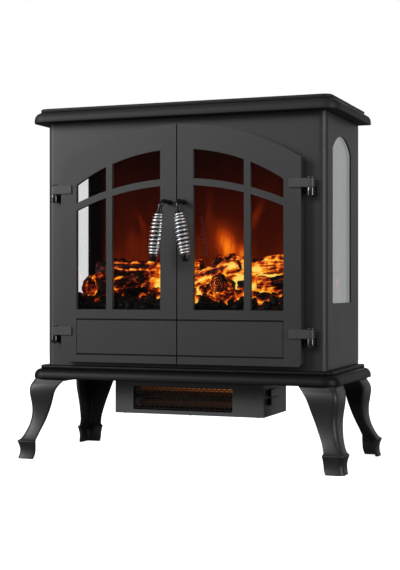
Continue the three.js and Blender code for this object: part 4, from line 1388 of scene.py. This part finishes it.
def makeBed():
    floorLine = cadSpan("ember_bed")[0].z
    width = bed["right"] - bed["left"]
    columns, rows = int(width / bed["step"]), int(bed["deep"] / bed["step"])
    bm = bmesh.new()
    heatLayer = bm.verts.layers.float.new("glow")
    grid = []
    for j in range(rows + 1):
        y = bed["front"] + bed["deep"] * j / rows
        line = []
        for i in range(columns + 1):
            x = bed["left"] + width * i / columns
            made = bm.verts.new(at(x, y, bedHeight(x, y)))
            made[heatLayer] = bedHeat(x, y, 0, 3)
            line.append(made)
        grid.append(line)
    for a, b in zip(grid, grid[1:]):
        for i in range(columns):
            bm.faces.new((a[i], a[i + 1], b[i + 1], b[i]))
    rim = grid[0] + [row[-1] for row in grid[1:]]
    rim += list(reversed(grid[-1][:-1])) + [row[0] for row in reversed(grid[1:-1])]
    foot = [bm.verts.new((vert.co.x, vert.co.y, floorLine * mm)) for vert in rim]
    bridge(bm, foot, rim)
    bm.faces.new(list(reversed(foot)))
    bmesh.ops.recalc_face_normals(bm, faces=bm.faces)
    return objectFrom("ember_bed_sheet", meshFrom("ember_bed_sheet", bm), "coal", crease=180)


def coalTree():
    # lumps of random size and turn stand on points, then a noise breaks their shape
    tree = Shaper("coals", Small=0.0042, Large=0.0074, Rough=0.0045, Seed=5)
    source, small, large, rough, seed = tree.given
    spots = tree.node("GeometryNodeMeshToPoints", inputs=[source])
    lump = tree.node("GeometryNodeMeshIcoSphere", inputs={"Radius": 1.0, "Subdivisions": 2})
    size = tree.randomly(small, large, seed)
    angles = {0: (0.0, 0.0, 0.0), 1: (6.28, 6.28, 6.28), "Seed": seed + 1}
    turn = tree.node("FunctionNodeRandomValue", {"data_type": "FLOAT_VECTOR"}, angles)
    flat = tree.vector(size * 1.25, size, size * 0.85)
    many = tree.spread(spots, lump, Rotation=turn, Scale=flat)
    whole = tree.node("GeometryNodeRealizeInstances", inputs=[many])
    place = tree.node("GeometryNodeInputPosition")
    field = {"Vector": place, "Scale": 120.0, "Detail": 2.0}
    cloud = tree.node("ShaderNodeTexNoise", inputs=field, outlet=1)
    centred = tree.node("ShaderNodeVectorMath", {"operation": "SUBTRACT"}, [cloud, (0.5, 0.5, 0.5)])
    push = tree.node("ShaderNodeVectorMath", {"operation": "SCALE"}, {0: centred, "Scale": rough * 2})
    return tree.close(tree.moved(whole, Offset=push), "coal")


def makeCoals():
    random.seed(11)
    places = []
    for i in range(bed["coals"]):
        y = bed["coalFront"] + bed["coalDeep"] * random.random() ** bed["crowding"]
        x = random.uniform(bed["left"] + 8, bed["right"] - 8)
        places.append(at(x, y, bedHeight(x, y) + random.uniform(0.5, 4.0)))
    spots = bpy.data.meshes.new("coal_spots")
    spots.from_pydata(places, [], [])
    small, large = bed["coal"]
    piece = coalTree().shape("loose_coals", spots, crease=180, Small=small * mm, Large=large * mm)
    heat = piece.data.attributes.new("glow", "FLOAT", "POINT")
    for i, vert in enumerate(piece.data.vertices):
        place = drawn(vert.co)
        crest = (place.z - bedHeight(place.x, place.y)) / 9
        heat.data[i].value = bedHeat(place.x, place.y, place.z, 6) - 0.42 * crest + 0.02
    return placed(piece, "stove")


placed(makeBed(), "stove", ["ember_bed"])
makeCoals()
print("stage: ember bed")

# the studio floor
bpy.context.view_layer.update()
floorMesh = bpy.data.meshes.new("floor")
reach = 3
corners = [(-reach, -reach, 0), (reach, -reach, 0), (reach, reach, 0), (-reach, reach, 0)]
floorMesh.from_pydata(corners, [], [(0, 1, 2, 3)])
floorPaint = Paint("studio floor")
floorTone = floorPaint.blend(floorPaint.noise(3), (0.86, 0.86, 0.86), (0.9, 0.9, 0.9))
paints["floor"] = floorPaint.coat(
    Base_Color=floorTone, Roughness=0.9, Emission_Color=(1.0, 1.0, 1.0), Emission_Strength=0.92
)
floor = objectFrom("floor", floorMesh, "floor", smooth=False)
floor.visible_diffuse = False
floor.visible_glossy = False
